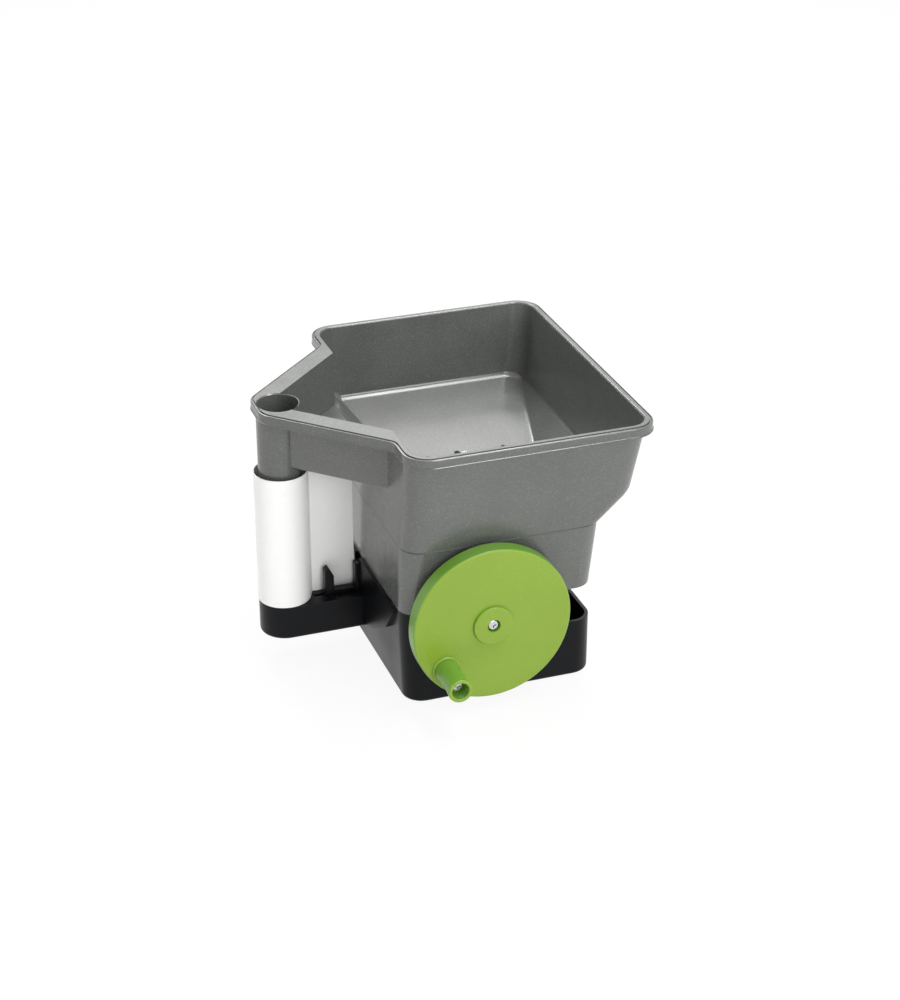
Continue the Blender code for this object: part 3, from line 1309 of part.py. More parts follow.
def flow_slide():
    """Gate plate under the chute, in one piece with the two finger posts on the arm."""
    gate_front = OUTLET_FRONT + GATE_LAP
    gate_top = GATE_BOTTOM + GATE_THICKNESS
    gate_rear = gate_front - GATE_LENGTH
    half = GATE_HALF_WIDTH
    gate = block("flow_slide", gate_rear, gate_front, -half, half, GATE_BOTTOM, gate_top)
    tail_rear = STOP_POST_FRONT - STOP_POST_THICKNESS / 2
    tail_front = gate_rear + WALL
    tail = block("tail", tail_rear, tail_front, SLIDE_NEAR_SIDE, TAIL_FAR_SIDE, GATE_BOTTOM, gate_top)
    bar_low = TRAY_TOP + GAP
    stop_post = block(
        "stop_post",
        STOP_POST_FRONT - STOP_POST_THICKNESS,
        STOP_POST_FRONT,
        SLIDE_NEAR_SIDE,
        SLIDE_FAR_SIDE,
        bar_low,
        POST_TOP,
    )
    bar_near = SLIDE_NEAR_SIDE + GAP
    bar_far = SLIDE_FAR_SIDE - GAP
    bar = block(
        "bar", POST_REAR, STOP_POST_FRONT - WALL, bar_near, bar_far, bar_low, bar_low + SLIDE_BAR
    )
    lean = 7.0 * mm
    side_view = [
        (POST_REAR, bar_low),
        (POST_REAR + POST_THICKNESS, bar_low),
        (POST_REAR + POST_THICKNESS, POST_TOP - lean),
        (POST_REAR + POST_THICKNESS * 0.45, POST_TOP),
        (POST_REAR, POST_TOP - WALL),
    ]
    post = turn_piece(prism("post", side_view, -SLIDE_FAR_SIDE, -SLIDE_NEAR_SIDE), along_y(0, 0, 0))
    middle = (SLIDE_NEAR_SIDE + SLIDE_FAR_SIDE) / 2
    tongue_front = POST_REAR + TONGUE_LENGTH
    lip_top = ARM_UNDERSIDE - GAP
    tongue = block(
        "tongue",
        POST_REAR,
        tongue_front,
        middle - TONGUE_THICKNESS / 2,
        middle + TONGUE_THICKNESS / 2,
        lip_top - TONGUE_LIP / 2,
        bar_low + WALL / 2,
    )
    lip = block("lip", POST_REAR, tongue_front, bar_near, bar_far, lip_top - TONGUE_LIP, lip_top)
    join(gate, tail, stop_post, bar, post, tongue, lip)
    finish(gate, BLACK, 0.4, origin=(POST_REAR, 0, TRAY_TOP))


def card_outline(radius, half, end):
    """Plan of the card: round the tube, then in to the flat flap."""
    start = math.radians(CARD_FOLD_ANGLE)
    sweep = 2 * math.pi - 2 * start
    steps = ROUND_STEPS
    outline = []
    for k in range(steps + 1):
        angle = start + sweep * k / steps
        outline.append(Vector((HANDLE_X + radius * math.cos(angle), radius * math.sin(angle))))
    join_x = HANDLE_X + CARD_RADIUS * CARD_FOLD_REACH - (CARD_RADIUS - radius)
    outline.append(Vector((join_x, -half)))
    if end > join_x:
        outline.append(Vector((end, -half)))
        outline.append(Vector((end, half)))
    outline.append(Vector((join_x, half)))
    return outline


def card_sleeve():
    """Plain white card wrapped round the handle, its two ends laid together in the finger gap."""
    flap_end = CARD_FLAP_END
    outside = card_outline(CARD_RADIUS, CARD, flap_end)
    sleeve = prism("card_sleeve", outside, TUBE_FOOT, CARD_TOP)
    inner = card_outline(CARD_RADIUS - CARD, CARD / 4, 2 * HANDLE_X)
    inside = prism("inside", inner, TUBE_FOOT - WALL, CARD_TOP + WALL)
    cut(sleeve, inside)
    flap_rear = HANDLE_X + CARD_RADIUS * CARD_FOLD_REACH + WALL
    raised = block("raised", flap_rear, flap_end, -CARD, CARD, CARD_TOP - WALL, CARD_FLAP_TOP)
    join(sleeve, raised)
    finish(sleeve, WHITE, 0.6)


hopper()
base_housing()
crank_wheel()
wheel_fixings()
knob()
pinion()
drive_train()
rotor()
agitator()
gear_bridge()
fixing_screws()
flow_slide()
card_sleeve()
bpy.context.view_layer.update()
print("pieces:", len(bpy.data.objects))
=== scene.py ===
# %% [markdown]
# # A handheld seed spreader, modelled piece by piece
# The spreader has a grey bin on a tube handle, a black base with an arm, and a green crank wheel.
# The measured model gives every piece its place and its size in metres. This file gives the pieces
# that show their fine shape and their finish, and it carries over the ones that are right already.

# %% Load the measured model
import json
import math

import bmesh
import bpy
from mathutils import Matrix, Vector

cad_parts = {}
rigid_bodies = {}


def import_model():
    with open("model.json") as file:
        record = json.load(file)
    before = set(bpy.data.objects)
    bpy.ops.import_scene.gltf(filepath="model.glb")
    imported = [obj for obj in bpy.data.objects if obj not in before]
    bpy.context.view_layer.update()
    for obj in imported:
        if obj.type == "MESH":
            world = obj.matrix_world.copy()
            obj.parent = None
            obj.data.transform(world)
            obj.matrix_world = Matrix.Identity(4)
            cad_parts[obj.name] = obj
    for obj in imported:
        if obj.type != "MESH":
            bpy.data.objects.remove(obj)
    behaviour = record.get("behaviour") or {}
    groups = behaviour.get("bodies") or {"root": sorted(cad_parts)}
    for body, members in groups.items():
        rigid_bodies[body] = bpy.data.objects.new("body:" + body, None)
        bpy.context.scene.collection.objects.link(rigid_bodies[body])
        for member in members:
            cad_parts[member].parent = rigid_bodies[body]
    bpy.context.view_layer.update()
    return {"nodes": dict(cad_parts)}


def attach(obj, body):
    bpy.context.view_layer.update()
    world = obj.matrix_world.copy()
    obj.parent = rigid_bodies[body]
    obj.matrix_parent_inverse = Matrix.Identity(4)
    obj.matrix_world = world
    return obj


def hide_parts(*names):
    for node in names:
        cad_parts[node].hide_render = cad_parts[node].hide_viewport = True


for old in list(bpy.data.objects):
    bpy.data.objects.remove(old)
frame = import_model()
MM = 0.001
print("measured model:", len(frame["nodes"]), "nodes")

# %% [markdown]
# ## The camera
# The photograph's straight edges gave the camera: about 1.65 m from the origin, a little to the
# left, looking down by 27 degrees. Its long lens keeps the rim's sides nearly parallel.

# %% Place the camera
CAMERA_PLACE = (-0.46313, -1.35238, 0.82884)
CAMERA_TURN = (62.950, 0.098, -19.430)
bpy.ops.object.camera_add(
    location=CAMERA_PLACE, rotation=[math.radians(angle) for angle in CAMERA_TURN]
)
camera = bpy.context.object
camera.name = "view_camera"
camera.data.lens = 82.2
camera.data.sensor_width = 36.0
camera.data.clip_start = 0.01
bpy.context.scene.camera = camera
print("camera lens:", round(camera.data.lens, 1), "mm")

# %% [markdown]
# ## Picking and cutting
# Each step works as it would by hand: a primitive is added at its size and place, then shaped in
# edit mode. With no mouse, faces and edges are picked by a test on their place or direction.


# %% Start a block
def alone():
    """Leaves edit mode and deselects everything, so that an operator acts on the new piece only."""
    if bpy.context.mode != "OBJECT":
        bpy.ops.object.mode_set(mode="OBJECT")
    bpy.ops.object.select_all(action="DESELECT")


def settle(name):
    """Names the active piece and puts its place into its mesh."""
    piece = bpy.context.object
    piece.name = name
    bpy.ops.object.transform_apply(location=True, rotation=True, scale=True)
    return piece


def block(name, low, high):
    """A cube between two corners, in millimetres."""
    alone()
    middle = [(a + b) / 2 * MM for a, b in zip(low, high)]
    size = [(b - a) * MM for a, b in zip(low, high)]
    bpy.ops.mesh.primitive_cube_add(size=1, location=middle, scale=size)
    return settle(name)


def drum(name, centre, radius, depth, axis="Z", sides=64):
    """A cylinder round its centre, upright or along Y, in millimetres."""
    alone()
    lean = math.pi / 2 if axis == "Y" else 0
    bpy.ops.mesh.primitive_cylinder_add(
        vertices=sides,
        radius=radius * MM,
        depth=depth * MM,
        location=[c * MM for c in centre],
        rotation=(lean, 0, 0),
    )
    return settle(name)


sample = block("sample", (0, 0, 0), (10, 20, 30))
print("a test block measures", [round(side / MM) for side in sample.dimensions], "mm")
bpy.data.objects.remove(sample)


# %% Pick parts of a mesh
def pick(piece, kind, test):
    """Opens the piece in edit mode and selects the vertices, edges or faces that pass the test."""
    alone()
    bpy.context.view_layer.objects.active = piece
    piece.select_set(True)
    bpy.ops.object.mode_set(mode="EDIT")
    bpy.ops.mesh.select_mode(type=kind)
    bpy.ops.mesh.select_all(action="DESELECT")
    shape = bmesh.from_edit_mesh(piece.data)
    shape.normal_update()
    items = {"VERT": shape.verts, "EDGE": shape.edges, "FACE": shape.faces}[kind]
    found = [item for item in items if test(item)]
    for item in found:
        item.select_set(True)
    shape.select_flush_mode()
    bmesh.update_edit_mesh(piece.data)
    return len(found)


def spot(vertex):
    """Place of a vertex, in millimetres."""
    return vertex.co / MM


def middle_of(item):
    """Middle of an edge or a face, in millimetres."""
    return sum((spot(v) for v in item.verts), Vector()) / len(item.verts)


def near(measure, place):
    """Whether a measure is at a place, to a fiftieth of a millimetre."""
    return abs(measure - place) < 0.02


def along(edge, axis):
    """Whether an edge runs along an axis, given as 0, 1 or 2."""
    line = (edge.verts[1].co - edge.verts[0].co).normalized()
    return abs(line[axis]) > 0.98


def upright(edge):
    """Whether an edge rises more than it leans."""
    return abs((edge.verts[1].co - edge.verts[0].co).normalized().z) > 0.7


def turn(edge):
    """How sharply the surface turns at an edge, in degrees."""
    return math.degrees(edge.calc_face_angle(0.0))


def sharp(edge):
    """Whether the surface turns by more than 60 degrees at an edge."""
    return turn(edge) > 60


def faces(axis, sign):
    """A test for faces that look along an axis: forwards for sign 1, backwards for -1."""
    return lambda face: face.normal[axis] * sign >= 0.99


def done():
    """Goes back to object mode."""
    bpy.ops.object.mode_set(mode="OBJECT")


def round_edges(piece, radius, segments, test):
    """Rounds the edges that pass the test, to a radius in millimetres."""
    count = pick(piece, "EDGE", test)
    if count:
        bpy.ops.mesh.bevel(
            offset=radius * MM, segments=segments, affect="EDGES", clamp_overlap=True
        )
    done()
    return count


# %% Inset, join and cut
def push(piece, test, *steps):
    """Insets the faces that pass the test, once for each (thickness, depth) in mm."""
    pick(piece, "FACE", test)
    for thickness, depth in steps:
        bpy.ops.mesh.inset(thickness=thickness * MM, depth=depth * MM, use_boundary=True)
    done()


def combine(piece, tool, operation):
    """Cuts the tool from the piece, or joins it on, and removes the tool."""
    alone()
    bpy.context.view_layer.objects.active = piece
    change = piece.modifiers.new("change", "BOOLEAN")
    change.operation = operation
    change.solver = "EXACT"
    change.object = tool
    bpy.ops.object.modifier_apply(modifier=change.name)
    bpy.data.objects.remove(tool)


def cut(piece, *tools):
    """Cuts each tool from the piece."""
    for tool in tools:
        combine(piece, tool, "DIFFERENCE")


def join(piece, *tools):
    """Joins each tool to the piece in one closed skin."""
    for tool in tools:
        combine(piece, tool, "UNION")


def tower(name, levels, corner):
    """A block with rounded corners through levels of (height, rear, front, half width), in mm."""
    low, high = levels[0], levels[1]
    piece = block(name, (low[1], -low[3], low[0]), (low[2], low[3], high[0]))
    round_edges(piece, corner, 8, upright)
    for before, after in zip(levels, levels[1:]):
        pick(piece, "FACE", faces(2, 1))
        if before is not low:
            rise = (after[0] - before[0]) * MM
            bpy.ops.mesh.extrude_region_move(TRANSFORM_OT_translate={"value": (0, 0, rise)})
        centre = (before[1] + before[2]) / 2
        grow = ((after[2] - after[1]) / (before[2] - before[1]), after[3] / before[3], 1)
        bpy.ops.transform.resize(value=grow, center_override=(centre * MM, 0, after[0] * MM))
        shift = ((after[1] + after[2]) / 2 - centre) * MM
        bpy.ops.transform.translate(value=(shift, 0, 0))
    done()
    return piece


def slice_off(piece, point, normal):
    """Removes what lies beyond a plane and closes the cut."""
    pick(piece, "FACE", lambda f: True)
    bpy.ops.mesh.bisect(
        plane_co=[p * MM for p in point],
        plane_no=Vector(normal).normalized(),
        use_fill=True,
        clear_outer=True,
        threshold=0.001 * MM,
    )
    done()


SMOOTH_BELOW = 32


def finish(piece, body, material, replaced):
    """Shades a finished piece, gives it its finish and fixes it to its body.

    Folds of less than SMOOTH_BELOW degrees shade smoothly, and sharper ones stay crisp.
    """
    alone()
    bpy.context.view_layer.objects.active = piece
    piece.select_set(True)
    bpy.ops.object.mode_set(mode="EDIT")
    bpy.ops.mesh.select_all(action="SELECT")
    bpy.ops.mesh.remove_doubles(threshold=0.003 * MM)
    bpy.ops.mesh.dissolve_degenerate(threshold=0.002 * MM)
    done()
    bpy.ops.object.shade_smooth_by_angle(angle=math.radians(SMOOTH_BELOW))
    weighted = piece.modifiers.new("even_normals", "WEIGHTED_NORMAL")
    weighted.weight = 80
    weighted.keep_sharp = True
    bpy.ops.object.modifier_apply(modifier=weighted.name)
    piece.data.materials.clear()
    piece.data.materials.append(material)
    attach(piece, body)
    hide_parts(*replaced)
    print(piece.name, "has", len(piece.data.polygons), "faces")


print("tools ready")

# %% [markdown]
# ## Finishes
# Every finish starts from the real material and how its surface was made. A hex colour is what
# the eye sees on a screen, and a shader counts in linear light, so one function turns the one
# into the other. Pattern scales come from real sizes: a noise of scale S has features of about
# 1 / S metres.


# %% Colour and node helpers
def linear(code):
    """A hex colour as linear red, green, blue and alpha, by the sRGB curve."""
    parts = [int(code[i : i + 2], 16) / 255 for i in (0, 2, 4)]
    return [c / 12.92 if c <= 0.04045 else ((c + 0.055) / 1.055) ** 2.4 for c in parts] + [1.0]


def per_mm(size):
    """The noise scale whose features are this many millimetres wide."""
    return 1 / (size * MM)


def add(tree, kind, settings=None, links=None, **values):
    """Adds a node with its settings, its socket values and its links from other nodes.

    links names each input socket, or counts it from 0, and gives the output that feeds it.
    """
    node = tree.nodes.new(kind)
    for name, value in (settings or {}).items():
        setattr(node, name, value)
    for name, value in values.items():
        node.inputs[name.replace("_", " ")].default_value = value
    for name, source in (links or {}).items():
        tree.links.new(source, node.inputs[name])
    return node


def new_finish(name, **values):
    """A material with its Principled shader's own sockets set."""
    material = bpy.data.materials.new(name)
    material.use_nodes = True
    shader = material.node_tree.nodes["Principled BSDF"]
    for socket, value in values.items():
        shader.inputs[socket.replace("_", " ")].default_value = value
    return material, material.node_tree, shader


print("white is", linear("FFFFFF"))


# %% [markdown]
# ### Moulded plastic
# The bin, the base and the wheel are injection-moulded polypropylene and ABS. The steel mould was
# spark-eroded, which leaves a fine even grain on the plastic, and the pellets' pigment leaves
# faint specks. The same steps suit all three, with their own colours and gloss.


# %% Moulded plastic finishes
def moulded(name, main, speck, gloss, grain, grain_depth, mirror=0.5, cloud=0.06, side=None):
    """Injection-moulded plastic, from hex colours for its body, its specks and the painted shade on
    its side walls.

    gloss is the lowest roughness, grain and grain_depth are in millimetres, mirror is the
    specular level, and cloud is how far the shade wanders up and down.
    """
    material, tree, shader = new_finish(name, IOR=1.49, Metallic=0.0, Specular_IOR_Level=mirror)
    place = add(tree, "ShaderNodeTexCoord").outputs["Object"]
    specks = add(
        tree,
        "ShaderNodeTexNoise",
        links={"Vector": place},
        Scale=per_mm(0.9),
        Detail=3.0,
        Roughness=0.7,
    )
    few = add(
        tree,
        "ShaderNodeMapRange",
        links={"Value": specks.outputs["Fac"]},
        From_Min=0.5,
        From_Max=0.72,
        To_Min=0.0,
        To_Max=1.0,
    )
    clouds = add(
        tree, "ShaderNodeTexNoise", links={"Vector": place}, Scale=per_mm(38), Detail=2.0
    )
    tint = add(
        tree,
        "ShaderNodeMix",
        {"data_type": "RGBA"},
        {"Factor": few.outputs["Result"]},
        A=linear(main),
        B=linear(speck),
    )
    shade = add(
        tree,
        "ShaderNodeMapRange",
        links={"Value": clouds.outputs["Fac"]},
        From_Min=0.3,
        From_Max=0.7,
        To_Min=1 - cloud,
        To_Max=1 + cloud,
    )
    colour = add(
        tree,
        "ShaderNodeVectorMath",
        {"operation": "SCALE"},
        {"Vector": tint.outputs["Result"], "Scale": shade.outputs["Result"]},
    ).outputs["Vector"]
    if side:
        # The wheel's face looks along Y. Walls that look away from Y take the side colour, a
        # painted shade that darkens every sideways wall: the wheel's edge, the hub ring's side and
        # the knob's side.
        facing = add(tree, "ShaderNodeTexCoord").outputs["Normal"]
        parts = add(tree, "ShaderNodeSeparateXYZ", links={"Vector": facing})
        away = add(
            tree, "ShaderNodeMath", {"operation": "ABSOLUTE"}, {"Value": parts.outputs["Y"]}
        )
        share = add(
            tree,
            "ShaderNodeMapRange",
            links={"Value": away.outputs["Value"]},
            From_Min=0.35,
            From_Max=0.95,
            To_Min=1.0,
            To_Max=0.0,
        )
        colour = add(
            tree,
            "ShaderNodeMix",
            {"data_type": "RGBA"},
            {"Factor": share.outputs["Result"], "A": colour},
            B=linear(side),
        ).outputs["Result"]
    # Where side is given, the colour above carries a painted shade on walls that look away from Y.
    tree.links.new(colour, shader.inputs["Base Color"])
    uneven = add(
        tree,
        "ShaderNodeMapRange",
        links={"Value": clouds.outputs["Fac"]},
        From_Min=0.3,
        From_Max=0.7,
        To_Min=gloss,
        To_Max=gloss + 0.1,
    )
    tree.links.new(uneven.outputs["Result"], shader.inputs["Roughness"])
    grains = add(
        tree,
        "ShaderNodeTexNoise",
        links={"Vector": place},
        Scale=per_mm(grain),
        Detail=2.0,
        Roughness=0.6,
    )
    bump = add(
        tree,
        "ShaderNodeBump",
        links={"Height": grains.outputs["Fac"]},
        Strength=0.35,
        Distance=grain_depth * MM,
    )
    tree.links.new(bump.outputs["Normal"], shader.inputs["Normal"])
    return material


grey_plastic = moulded(
    "grey_moulded_polypropylene", "585A57", "727470", 0.17, 0.55, 0.03, mirror=0.8
)
black_plastic = moulded("black_moulded_abs", "0C0D10", "15161A", 0.26, 0.6, 0.05, mirror=0.16)
# The green's side colour 6E9E35 is a painted shade: the wheel's and the knob's sideways walls are
# drawn darker.
green_plastic = moulded(
    "lime_polypropylene_painted_side_shade", "7F9C2C", "87A434", 0.30, 0.8, 0.04, cloud=0.03, side="6E9E35"
)
nylon = moulded("natural_moulded_nylon", "D9D6C9", "E4E2D8", 0.38, 0.6, 0.05)
print("plastics:", grey_plastic.name, black_plastic.name, green_plastic.name, nylon.name)

# %% [markdown]
# ### Steel
# The screws are zinc plated steel: bright, with a soft unevenness from the plating bath. The
# shafts are drawn rod, which is duller. A metal keeps the default IOR and takes all its colour
# from its reflection.


# %% Steel finishes
def plated(name, colour, low, high):
    """Bright or drawn steel, whose roughness wanders between low and high."""
    material, tree, shader = new_finish(name, Metallic=1.0, Base_Color=linear(colour))
    place = add(tree, "ShaderNodeTexCoord").outputs["Object"]
    bath = add(tree, "ShaderNodeTexNoise", links={"Vector": place}, Scale=per_mm(1.6), Detail=3.0)
    uneven = add(
        tree,
        "ShaderNodeMapRange",
        links={"Value": bath.outputs["Fac"]},
        From_Min=0.3,
        From_Max=0.7,
        To_Min=low,
        To_Max=high,
    )
    tree.links.new(uneven.outputs["Result"], shader.inputs["Roughness"])
    return material


bright_zinc = plated("zinc_plated_screw_steel", "D2D5D6", 0.12, 0.26)
drawn_steel = plated("drawn_shaft_steel", "B4B6B8", 0.25, 0.42)
print("metals:", bright_zinc.name, drawn_steel.name)

# %% [markdown]
# ### Card
# The sleeve is coated white board, about half a millimetre thick. The coating is smooth with a low
# sheen, and the fibres below show as a very faint mottle.

# %% Card finish
white_card, card_tree, card_shader = new_finish("coated_white_board", IOR=1.5, Roughness=0.42)
card_place = add(card_tree, "ShaderNodeTexCoord").outputs["Object"]
fibres = add(
    card_tree, "ShaderNodeTexNoise", links={"Vector": card_place}, Scale=per_mm(3.0), Detail=5.0
)
card_colour = add(
    card_tree,
    "ShaderNodeMix",
    {"data_type": "RGBA"},
    {"Factor": fibres.outputs["Fac"]},
    A=linear("FAFAF8"),
    B=linear("F4F4F2"),
)
card_tree.links.new(card_colour.outputs["Result"], card_shader.inputs["Base Color"])
card_bump = add(
    card_tree,
    "ShaderNodeBump",
    links={"Height": fibres.outputs["Fac"]},
    Strength=0.2,
    Distance=0.05 * MM,
)
card_tree.links.new(card_bump.outputs["Normal"], card_shader.inputs["Normal"])
print("card:", white_card.name)

# %% [markdown]
# ## The bin
# The bin, the rim, the tube handle and the skirt come out of one mould. It could be one long
# extrusion, but the seed's space has four sloping floors, and those are easiest as a second solid:
# a block with sliced corners, cut out of the first one. The bin's inner folds are soft and catch
# the light. A bevel can't turn five folds into each other cleanly, but this space has no hollow
# in it, so a skin stretched over equal balls at the corners of a smaller space rounds them all.

# %% Sizes of the bin
RIM_TOP, RIM_LOW = 191.2, 183.9
RIM_REAR, RIM_FRONT, RIM_SIDE = -56.0, 119.0, 119.0
BIN_REAR, BIN_FRONT, BIN_SIDE = -50.2, 113.2, 113.2
LEDGE, LEDGE_FRONT, LEDGE_SIDE = 137.1, 104.3, 105.6
FRONT_SLOPE, SIDE_SLOPE = 0.915, 0.224
SUMP = 117.9
WEDGE_TOP = 150.4
SKIRT_LOW, SHOULDER = 69.4, 137.3
HANDLE_X, TUBE_LOW, TUBE_TOP = -110.0, 43.1, 189.8
TUBE, BORE = 15.0, 13.0
SPINDLE_X = 24
WALL = 2.0
print("bin mouth:", BIN_FRONT - BIN_REAR, "x", 2 * BIN_SIDE, "mm")


# %% The seed's space
FRONT_LEAN = (BIN_FRONT - LEDGE_FRONT) / (RIM_TOP - LEDGE)
SIDE_LEAN = (BIN_SIDE - LEDGE_SIDE) / (RIM_TOP - LEDGE)
CORNER, FOLD = 13.0, 5.0


def seed_space(name, grow):
    """The bin's inside with sharp folds, grown outwards, or inwards where grow is negative.

    It starts below the ledge and ends above the rim. The planes of the floors trim its foot.
    """
    levels = []
    for height in (LEDGE - 30, RIM_TOP + 12):
        front = LEDGE_FRONT + FRONT_LEAN * (height - LEDGE) + grow * math.hypot(1, FRONT_LEAN)
        side = LEDGE_SIDE + SIDE_LEAN * (height - LEDGE) + grow * math.hypot(1, SIDE_LEAN)
        levels.append((height, BIN_REAR - grow, front, side))
    space = tower(name, levels, CORNER + grow)
    planes = [
        ((0, LEDGE_SIDE, LEDGE), (0, SIDE_SLOPE, -1)),
        ((0, -LEDGE_SIDE, LEDGE), (0, -SIDE_SLOPE, -1)),
        ((LEDGE_FRONT, 0, LEDGE), (FRONT_SLOPE, 0, -1)),
        ((BIN_REAR, 0, WEDGE_TOP), (-1, 0, -1)),
        ((0, 0, SUMP), (0, 0, -1)),
    ]
    for point, normal in planes:
        away = Vector(normal).normalized()
        slice_off(space, Vector(point) + away * grow, away)
    return space


def wrap_balls(piece, radius):
    """Puts a ball at every corner of a convex piece and wraps them all in one skin."""
    alone()
    bpy.ops.mesh.primitive_uv_sphere_add(segments=32, ring_count=16, radius=radius * MM)
    ball = bpy.context.object
    ball.parent = piece
    piece.instance_type = "VERTS"
    ball.select_set(False)
    piece.select_set(True)
    bpy.ops.object.duplicates_make_real()
    bpy.data.objects.remove(ball)
    piece.select_set(True)
    bpy.context.view_layer.objects.active = piece
    bpy.ops.object.join()
    piece.instance_type = "NONE"
    pick(piece, "VERT", lambda v: True)
    bpy.ops.mesh.convex_hull()
    bpy.ops.mesh.dissolve_limited(angle_limit=math.radians(0.1))
    done()


seeds = seed_space("seeds", -FOLD)
wrap_balls(seeds, FOLD)
print("the seed's space has", len(seeds.data.polygons), "faces")

# %% [markdown]
# The outside is a tower of levels: a plain skirt, a small step where the upper box stands proud,
# a front shoulder that leans out over the throw slot, and walls with a little draft so that the
# moulding leaves its mould.

# %% The outer box
OUTER_LEVELS = [
    (SKIRT_LOW, -56.4, 80.9, 102.2),
    (116.5, -55.4, 85.2, 104.8),
    (117.1, -55.1, 84.8, 104.3),  # a fine groove under the step
    (118.1, -55.4, 86.4, 106.1),  # the upper box stands proud
    (SHOULDER, -54.2, 107.0, 107.6),
    (190.0, -54.2, 115.0, 115.2),  # under the rim's top
]
bin_body = tower("bin_body", OUTER_LEVELS, 14)
round_edges(bin_body, 4, 6, lambda e: near(middle_of(e).z, SHOULDER) and turn(e) > 8)
print("outer box:", [round(side / MM, 1) for side in bin_body.dimensions], "mm")


# %% [markdown]
# The rim runs round the bin and out to the handle's tip in one flat band. A rectangle and a
# wedge make its plan. Insets from below leave it as a thin plate with a hanging lip, which is how
# a moulded rim is kept light and stiff, and insets on top make its bead with a fine groove inside.

# %% The rim
def wedge(name, tip, side, front, low, high):
    """A block that widens at 45 degrees. side is how far its flanks pass the tube's axis."""
    tip_half = tip - HANDLE_X + side * math.sqrt(2)
    front_half = front - HANDLE_X + side * math.sqrt(2)
    piece = block(name, (tip, -tip_half, low), (front, tip_half, high))
    pick(piece, "VERT", lambda v: spot(v).x > front - 1)
    grow = front_half / tip_half
    bpy.ops.transform.resize(value=(1, grow, 1), center_override=(front * MM, 0, 0))
    done()
    return piece


STEP, GROOVE = 0.5, 0.7
LIP_WALL, LIP_DEPTH = 2.0, 4.9
BEAD_TOP = RIM_LOW + 0.9
BAND_SHRINK = 0.9968  # draws the band over the lip's bead in by up to 0.4 mm
rim = block("rim", (RIM_REAR, -RIM_SIDE, RIM_LOW), (RIM_FRONT, RIM_SIDE, RIM_TOP - STEP))
round_edges(rim, 18, 8, upright)
rim_tip = wedge("rim_tip", HANDLE_X - 16.4, 21.8, -52, RIM_LOW, RIM_TOP - STEP)
round_edges(rim_tip, 6, 6, lambda e: upright(e) and middle_of(e).x < -100)
join(rim, rim_tip)
pick(rim, "EDGE", lambda e: turn(e) < 0.5 and not upright(e))
bpy.ops.mesh.dissolve_edges()
done()


def is_inner_corner(edge):
    """Whether an edge stands where the wedge's flank meets the rim's rear."""
    middle = middle_of(edge)
    return upright(edge) and near(middle.x, RIM_REAR) and abs(middle.y) < 95


inner_corners = round_edges(rim, 3, 5, is_inner_corner)
for level in (BEAD_TOP, BEAD_TOP + 0.25):
    pick(rim, "FACE", lambda f: True)
    bpy.ops.mesh.bisect(plane_co=(0, 0, level * MM), plane_no=(0, 0, 1))
    done()
pick(rim, "VERT", lambda v: spot(v).z > BEAD_TOP + 0.2)
bpy.ops.transform.resize(value=(BAND_SHRINK, BAND_SHRINK, 1), center_override=(0, 0, 0))
done()
push(rim, faces(2, -1), (LIP_WALL, 0), (0.3, -LIP_DEPTH))
round_edges(rim, 0.9, 5, lambda e: sharp(e) and near(middle_of(e).z, RIM_TOP - STEP))
push(rim, faces(2, 1), (0.15, 0), (0.2, -GROOVE), (0.75, 0), (0.2, GROOVE + STEP))


def is_lip_foot(edge):
    """Whether an edge runs along the foot of one of the lip's two walls."""
    at_foot = middle_of(edge).z < RIM_LOW + 0.1 and not upright(edge)
    return at_foot and sharp(edge) and min(abs(f.normal.z) for f in edge.link_faces) < 0.1


round_edges(rim, 0.3, 2, is_lip_foot)
print("rim:", [round(side / MM, 1) for side in rim.dimensions], "mm, corners:", inner_corners)

# %% [markdown]
# The handle is a hollow tube, open at the top and with a web low down that takes the screw from
# the arm. The wedge's two walls and its floor close the bin towards the tube.

# %% Join the outside and hollow the skirt
handle = drum(
    "handle", (HANDLE_X, 0, (TUBE_LOW + TUBE_TOP) / 2), TUBE, TUBE_TOP - TUBE_LOW, sides=96
)
round_edges(handle, 0.5, 2, lambda e: not upright(e) and middle_of(e).z < 50)
wedge_walls = wedge("wedge_walls", -107, 7.3, -52.3, 148.2, 189.9)
round_edges(wedge_walls, 1.0, 3, lambda e: not upright(e) and middle_of(e).z < 149)
join(bin_body, rim, wedge_walls, handle)

skirt_room = tower(
    "skirt_room",
    [(67.0, -54.4, 78.9, 100.2), (118.0, -53.4, 82.7, 103.8), (LEDGE, -53.4, 82.7, 105.3)],
    12,
)
cut(skirt_room, seed_space("grown_seeds", WALL))
cut(bin_body, skirt_room)
print("bin so far:", len(bin_body.data.polygons), "faces")

# %% Add the chute and the screw bosses
SCREW_PLACES = [(x, side * y) for x, y in ((-41, 88), (35, 90)) for side in (-1, 1)]
BRIDGE_PLACES = [(46, -14), (46, 14)]
under_parts = [block("chute", (-6.5, -10, 60.5), (3.5, 10, 121))]
for x, y in SCREW_PLACES:
    # Each boss runs a little past its floor, and the seed's space trims it there.
    top = LEDGE - SIDE_SLOPE * (LEDGE_SIDE - abs(y)) + 1 if x > 0 else 145
    middle, height = (SKIRT_LOW + top) / 2, top - SKIRT_LOW
    under_parts.append(drum("screw_boss", (x, y, middle), 5, height, sides=32))
for x, y in BRIDGE_PLACES:
    under_parts.append(drum("bridge_boss", (x, y, 114), 4, 12.2, sides=32))
join(bin_body, *under_parts)
cut(bin_body, seeds)
print("bin so far:", len(bin_body.data.polygons), "faces")

